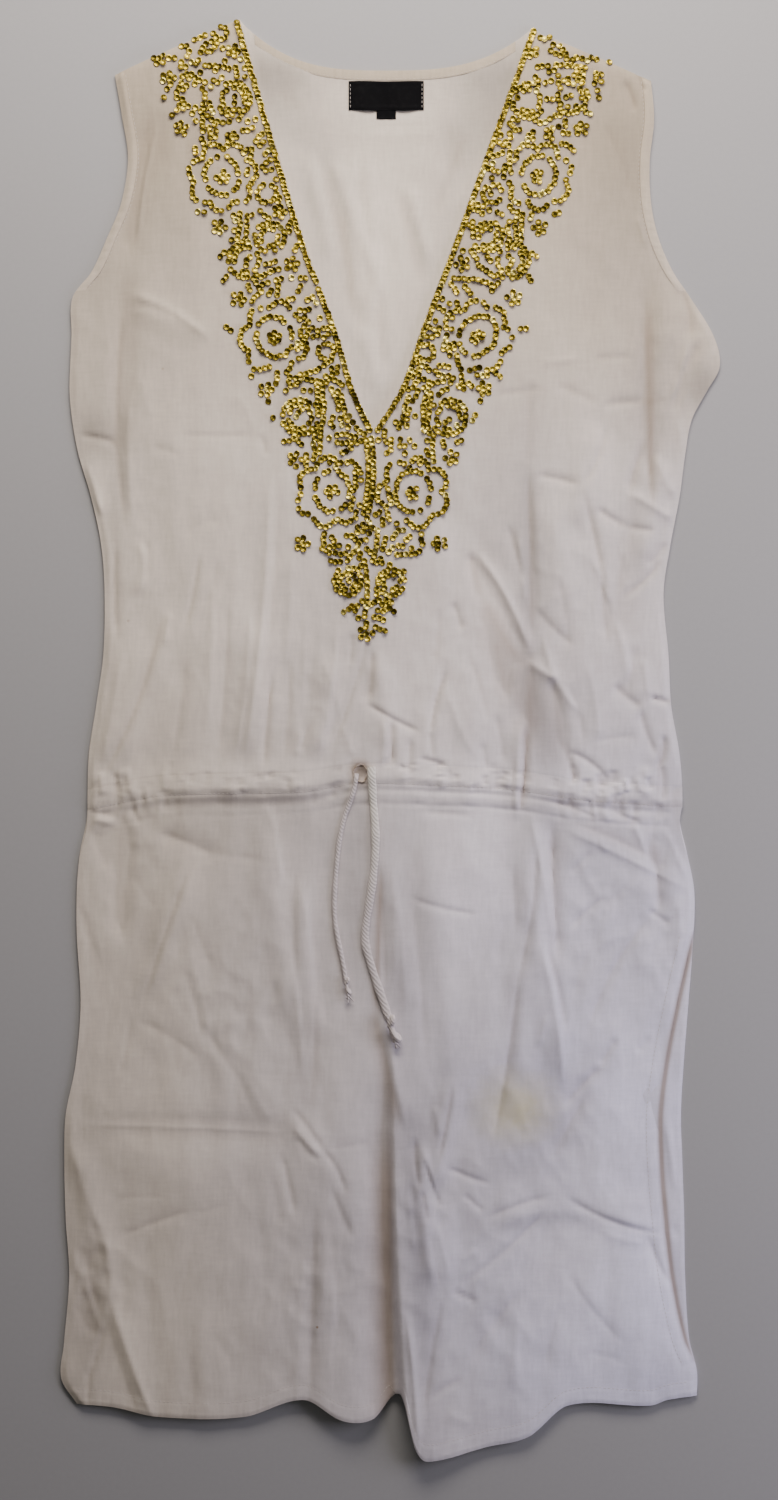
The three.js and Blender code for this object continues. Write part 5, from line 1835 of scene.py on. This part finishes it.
class Ground:
    """Places that are taken, kept in square cells."""

    def __init__(self, cell):
        self.cell = cell
        self.cells = defaultdict(list)

    def take(self, x, y):
        self.cells[x // self.cell, y // self.cell].append((x, y))

    def is_clear(self, x, y, gap):
        """Whether nothing is taken within the gap, which is no wider than a cell."""
        column, row = x // self.cell, y // self.cell
        near = [spot for i, j in AROUND for spot in self.cells[column + i, row + j]]
        return all(math.dist((x, y), spot) > gap for spot in near)


def sprigs(taken, rnd, pitch):
    """Short curved sprigs in the places that the motifs leave empty."""
    ground = Ground(6)
    for spot in taken:
        ground.take(*spot)
    made = []
    rosettes = [(motif.x, motif.y) for motif in MOTIFS if motif.kind is rosette]
    for _ in range(SPRIG_TRIES):
        y = rnd.uniform(SPRIG_FROM, SPRIG_TO)
        outer = through(SPRIG_REACH, "y", "outer", y)
        x = rnd.uniform(outer, inner_limit(y, -14))
        heading, bend = rnd.uniform(0, 360), rnd.uniform(-24, 24)
        if any(math.dist((x, y), centre) < ROSETTE_CLEAR for centre in rosettes):
            continue
        if rnd.random() < 0.5:
            x = mirror_x(x, y)
        for step in range(rnd.choice((2, 3, 3, 4))):
            if not ground.is_clear(x, y, SPRIG_CLEAR if step == 0 else LEAST_GAP):
                break
            made.append((x, y))
            ground.take(x, y)
            heading += bend
            ahead, aside = polar(pitch, math.radians(heading))
            x, y = x + ahead, y + aside
    return made


def thinned(spots, gap):
    ground = Ground(gap)
    kept = []
    for x, y in spots:
        if ground.is_clear(x, y, gap):
            kept.append((x, y))
            ground.take(x, y)
    return kept


def sequin_form(diameter):
    """One cupped sequin of 32 faces: a flat middle, a tilted rim and a closed underside."""
    radius = diameter / 2
    bm = bmesh.new()
    profile = [(0, 0.08), (0.3, 0.12), (0.84, 0.34), (1.0, 0.26), (0, 0.0)]
    verts = [bm.verts.new((r * radius, 0, z * radius)) for r, z in profile]
    for a, b in zip(verts, verts[1:]):
        bm.edges.new((a, b))
    bmesh.ops.spin(bm, geom=bm.verts[:] + bm.edges[:], cent=(0, 0, 0), axis=(0, 0, 1),
                   angle=2 * math.pi, steps=8, use_merge=True)
    bmesh.ops.remove_doubles(bm, verts=bm.verts[:], dist=1e-6)
    bmesh.ops.recalc_face_normals(bm, faces=bm.faces[:])
    return bm


def joined_copies(name, form, matrices, lit_tones=None, smooth_shading=False):
    """Many copies of one small form as a single mesh, each with its tone."""
    form.verts.index_update()
    corners = [vert.co.copy() for vert in form.verts]
    faces = [[vert.index for vert in face.verts] for face in form.faces]
    form.free()
    mesh = bpy.data.meshes.new(name)
    verts = [matrix @ corner for matrix in matrices for corner in corners]
    polygons = [[i + n * len(corners) for i in face] for n in range(len(matrices)) for face in faces]
    mesh.from_pydata(verts, [], polygons)
    if lit_tones:
        layer = mesh.attributes.new("tone", "FLOAT", "FACE")
        layer.data.foreach_set("value", [tone for tone in lit_tones for _ in faces])
    for polygon in mesh.polygons:
        polygon.use_smooth = smooth_shading
    return place_mesh(name, mesh)


def standing_on(x, y, z, normal, tilt, tilt_turn, spin):
    lean = Matrix.Rotation(tilt, 4, Vector((*polar(1, tilt_turn), 0)))
    up = normal.to_track_quat("Z", "Y").to_matrix().to_4x4()
    return Matrix.Translation(Vector((x, y, z)) * MM) @ up @ lean @ Matrix.Rotation(spin, 4, "Z")


class TUNIC_OT_sequins(bpy.types.Operator):
    """Lay the gold sequins in rosettes, leaves, curls and sprigs along the neck"""

    bl_idname = "tunic.sequins"
    bl_label = "Sequins"

    def execute(self, context):
        sizes = context.scene.tunic_sizes
        surface = top_of("bodice_front_cloth")
        rnd = random.Random(sizes.seed)
        pitch = sizes.sequin_pitch / MM
        radius = sizes.sequin_diameter / MM / 2
        point = []
        for motif in POINT_MOTIFS:
            point += turned(motif.kind(motif.size, pitch), motif.x, motif.y, motif.turn)
        spots = {"point": point}
        for side in ("left", "right"):
            spots[side] = sequin_spots(side, pitch, rnd)
        taken = [spot for name in SEQUIN_PARTS for spot in spots[name]]
        for x, y in sprigs(taken, rnd, pitch):
            spots["left" if x < mirror_x(x, y) else "right"].append((x, y))
        kept = set(thinned([spot for name in SEQUIN_PARTS for spot in spots[name]], LEAST_GAP))
        for name in SEQUIN_PARTS:
            matrices, lit_tones = [], []
            for x, y in spots[name]:
                if (x, y) not in kept:
                    continue
                held = surface(x, y, None)
                if held is None:
                    continue
                z, slope = held
                normal = (slope + Vector((0, 0, 1.5))).normalized()
                tilt = sizes.sequin_tilt * rnd.random() ** 0.7
                height = z + 0.12 + 0.55 * radius * math.sin(tilt)
                matrices.append(standing_on(x, y, height, normal, tilt, rnd.uniform(0, 2 * math.pi),
                                            rnd.uniform(0, 2 * math.pi)))
                # A random tone for each sequin, from painted shade to a painted glint.
                lit_tones.append(min(1, max(0, rnd.gauss(0.5, 0.28))))
            piece = joined_copies(f"sequins_{name}", sequin_form(sizes.sequin_diameter), matrices, lit_tones)
            dress_up(piece, "Gold sequins")
        return {"FINISHED"}


# ---- stitching ----------------------------------------------------------------------


def stitch_form(length, thread):
    bm = bmesh.new()
    bmesh.ops.create_uvsphere(bm, u_segments=6, v_segments=4, radius=0.5)
    bmesh.ops.rotate(bm, verts=bm.verts[:], matrix=Matrix.Rotation(math.radians(90), 3, "Y"))
    bmesh.ops.scale(bm, verts=bm.verts[:], vec=Vector((length, thread, thread)))
    return bm


def row_shares(side, start, end, steps, share_of):
    """Points on one row after another of the front, at a share that follows from its width."""
    run = []
    for h in spread(start, end, steps):
        ends = row_ends(side, h)
        run.append(front_place(h, ends, share_of(row_width(ends)))[:2])
    return run


def stitch_lines():
    """Runs of stitching on the front, as points in mm: hem, armholes, neck, channel and slit."""
    hem = []
    h = HEM_Y + HEM_BAND
    shares = spread(0, 1, 60)[2:-2]
    for side, run in (("left", reversed(shares)), ("right", shares)):
        ends = row_ends(side, h)
        hem += [front_place(h, ends, share)[:2] for share in run]
    lines = [hem]
    for side in ("left", "right"):
        lines.append(row_shares(side, UNDERARM_Y + 4, SHOULDER_Y - 3, 40,
                                lambda width: 1 - (BAND_WIDTH + 0.9) / width))
        lines.append(row_shares(side, V_POINT.y + 5, SHOULDER_Y - 2, 40,
                                lambda width: NECK_BEAD_WIDTH / width * 0.55))
    for xs in (spread(-214, -28, 50), spread(-12, 206, 56)):
        lines.append([(x, casing_at(x) + 0.7 - CASING_HEIGHT / 2) for x in xs])
    lines.append(row_shares("right", SLIT_FROM - 6, SLIT_TO + 2, 60,
                            lambda width: 1 - (SLIT_BAND + 0.3) / width))
    return lines


class TUNIC_OT_stitching(bpy.types.Operator):
    """Sew the visible stitches of the hem, armholes, neck, channel, slit, facing and label"""

    bl_idname = "tunic.stitching"
    bl_label = "Stitching"

    def execute(self, context):
        sizes = context.scene.tunic_sizes
        front = top_of(*LAYERS)
        inside = top_of("back_cloth", "neck_facing_cloth", "neck_label_satin")
        rnd = random.Random(sizes.seed + 1)
        pitch = sizes.stitch_pitch / MM
        matrices = []

        def sew(points, surface):
            spots = resample(points, pitch)
            for (ax, ay), (bx, by) in zip(spots, spots[1:]):
                x, y = mix(ax, bx, 0.5), mix(ay, by, 0.5) + rnd.uniform(-0.08, 0.08)
                z, _ = surface(x, y)
                rise = (surface(bx, by)[0] - surface(ax, ay)[0]) / pitch
                run = Vector((bx - ax, by - ay, 0)).normalized()
                run.z = max(-0.5, min(0.5, rise))
                turn = run.to_track_quat("X", "Z").to_matrix().to_4x4()
                matrices.append(Matrix.Translation(Vector((x, y, z + 0.05)) * MM) @ turn)

        for points in stitch_lines():
            sew(points, front)
        start, end = SHOULDERS["left"].high.x + 14, SHOULDERS["right"].high.x - 14
        sew([(x, back_neck_y(x) - FACING_WIDTH + 0.9) for x in spread(start, end, 60)], inside)
        for shift in (0.5 * LABEL_WIDTH - 1.2, 1.2 - 0.5 * LABEL_WIDTH):
            x = LABEL_X + shift
            sew([(x, LABEL_Y - 1.5), (x, LABEL_Y - LABEL_HEIGHT + 1.5)], inside)
        piece = joined_copies("stitching", stitch_form(sizes.stitch_length, sizes.thread), matrices,
                              smooth_shading=True)
        dress_up(piece, "Sewing thread")
        return {"FINISHED"}


# ---- the cloth pieces' flat cuts, and what is sewn to each -----------------------------

# Flat cut of what each visible piece shows, in metres, and its area in square metres.
CUTS = {
    "back_cloth": ((0.475, 1.031), 0.417),
    "bodice_front_cloth": ((0.468, 0.568), 0.194),
    "skirt_front_cloth": ((0.46, 0.5), 0.203),
}


class TUNIC_OT_declare(bpy.types.Operator):
    bl_idname = "tunic.declare"
    bl_label = "Declare cloth"

    def execute(self, context):
        sewn = {
            "back_cloth": ["neck_facing_cloth", "neck_label_satin", "size_tab_satin"],
            "bodice_front_cloth": ["armhole_band_left_cloth", "armhole_band_right_cloth",
                                   "sequins_left", "sequins_right", "sequins_point"],
            "skirt_front_cloth": ["waist_casing_left_cloth", "waist_casing_right_cloth",
                                  "eyelet_edge", "stitching"],
        }
        for name, (flat, area) in CUTS.items():
            bpy.data.objects[name]
            sewn[name]
        return {"FINISHED"}


# ---- stage -----------------------------------------------------------------------------


def area_light(name, location, target, size, power, colour):
    data = bpy.data.lights.new(name, "AREA")
    data.shape = "RECTANGLE"
    data.size, data.size_y = size
    data.energy = power
    data.color = colour
    light = bpy.data.objects.new(name, data)
    light.location = location
    aim = Vector(target) - Vector(location)
    light.rotation_euler = aim.to_track_quat("-Z", "Y").to_euler()
    bpy.context.scene.collection.objects.link(light)


CAMERA_HEIGHT = 2.2
VIEW_HEIGHT = 1.08  # length of floor that fills the picture from top to bottom
SENSOR = 36
CAMERA_SHIFT_X, CAMERA_SHIFT_Y = -0.0002, -0.0079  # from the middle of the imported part's box


class TUNIC_OT_stage(bpy.types.Operator):
    """Set the pale floor, the soft lights and the camera straight above the dress"""

    bl_idname = "tunic.stage"
    bl_label = "Stage"

    def execute(self, context):
        bm = bmesh.new()
        bmesh.ops.create_grid(bm, x_segments=2, y_segments=2, size=5)
        mesh = bpy.data.meshes.new("floor")
        bm.to_mesh(mesh)
        bm.free()
        floor = bpy.data.objects.new("floor", mesh)
        mesh.materials.append(material_named("Pale floor"))
        context.scene.collection.objects.link(floor)

        area_light("Daylight", (1.02, -0.1, 0.46), (0, -0.1, 0), (0.7, 0.6), 9.6, (0.87, 0.82, 1.0))
        area_light("Warm lamp", (0.05, 1.0, 0.6), (0, 0.3, 0), (0.9, 0.5), 21.5, (1.0, 0.91, 0.86))

        world = bpy.data.worlds.new("Soft studio")
        world.use_nodes = True
        background = world.node_tree.nodes["Background"]
        background.inputs["Color"].default_value = (1.0, 0.97, 0.94, 1)
        background.inputs["Strength"].default_value = 0.113
        context.scene.world = world

        low, high = CAD_BOX
        centre = (low + high) / 2
        data = bpy.data.cameras.new("Camera")
        data.sensor_fit = "AUTO"
        data.sensor_width = SENSOR
        data.lens = SENSOR * CAMERA_HEIGHT / VIEW_HEIGHT
        data.clip_start = 0.05
        data.clip_end = 20
        camera = bpy.data.objects.new("Camera", data)
        camera.location = (centre.x + CAMERA_SHIFT_X, centre.y + CAMERA_SHIFT_Y, CAMERA_HEIGHT)
        context.scene.collection.objects.link(camera)
        context.scene.camera = camera
        return {"FINISHED"}


# ---- the add-on ------------------------------------------------------------------------

OPERATORS = (
    TUNIC_OT_stage,
    TUNIC_OT_front,
    TUNIC_OT_back,
    TUNIC_OT_waist_casing,
    TUNIC_OT_drawstrings,
    TUNIC_OT_armhole_bands,
    TUNIC_OT_neck,
    TUNIC_OT_sequins,
    TUNIC_OT_stitching,
    TUNIC_OT_declare,
)


class TUNIC_PT_panel(bpy.types.Panel):
    """Lists the dress's pieces and their sizes"""

    bl_idname = "TUNIC_PT_panel"
    bl_label = "Tunic Dress"
    bl_space_type = "VIEW_3D"
    bl_region_type = "UI"
    bl_category = "Tunic"

    def draw(self, context):
        layout = self.layout
        for operator in OPERATORS:
            layout.operator(operator.bl_idname)
        for group in (context.scene.tunic_sizes, context.scene.tunic_colours):
            box = layout.box()
            for name in group.__annotations__:
                box.prop(group, name)


CLASSES = (TunicSizes, TunicColours, *OPERATORS, TUNIC_PT_panel)


def register():
    for cls in CLASSES:
        bpy.utils.register_class(cls)
    bpy.types.Scene.tunic_sizes = PointerProperty(type=TunicSizes)
    bpy.types.Scene.tunic_colours = PointerProperty(type=TunicColours)


def unregister():
    del bpy.types.Scene.tunic_colours
    del bpy.types.Scene.tunic_sizes
    for cls in reversed(CLASSES):
        bpy.utils.unregister_class(cls)


def main():
    register()
    for operator in OPERATORS:
        group, name = operator.bl_idname.split(".")
        getattr(getattr(bpy.ops, group), name)()


if __name__ == "__main__":
    main()
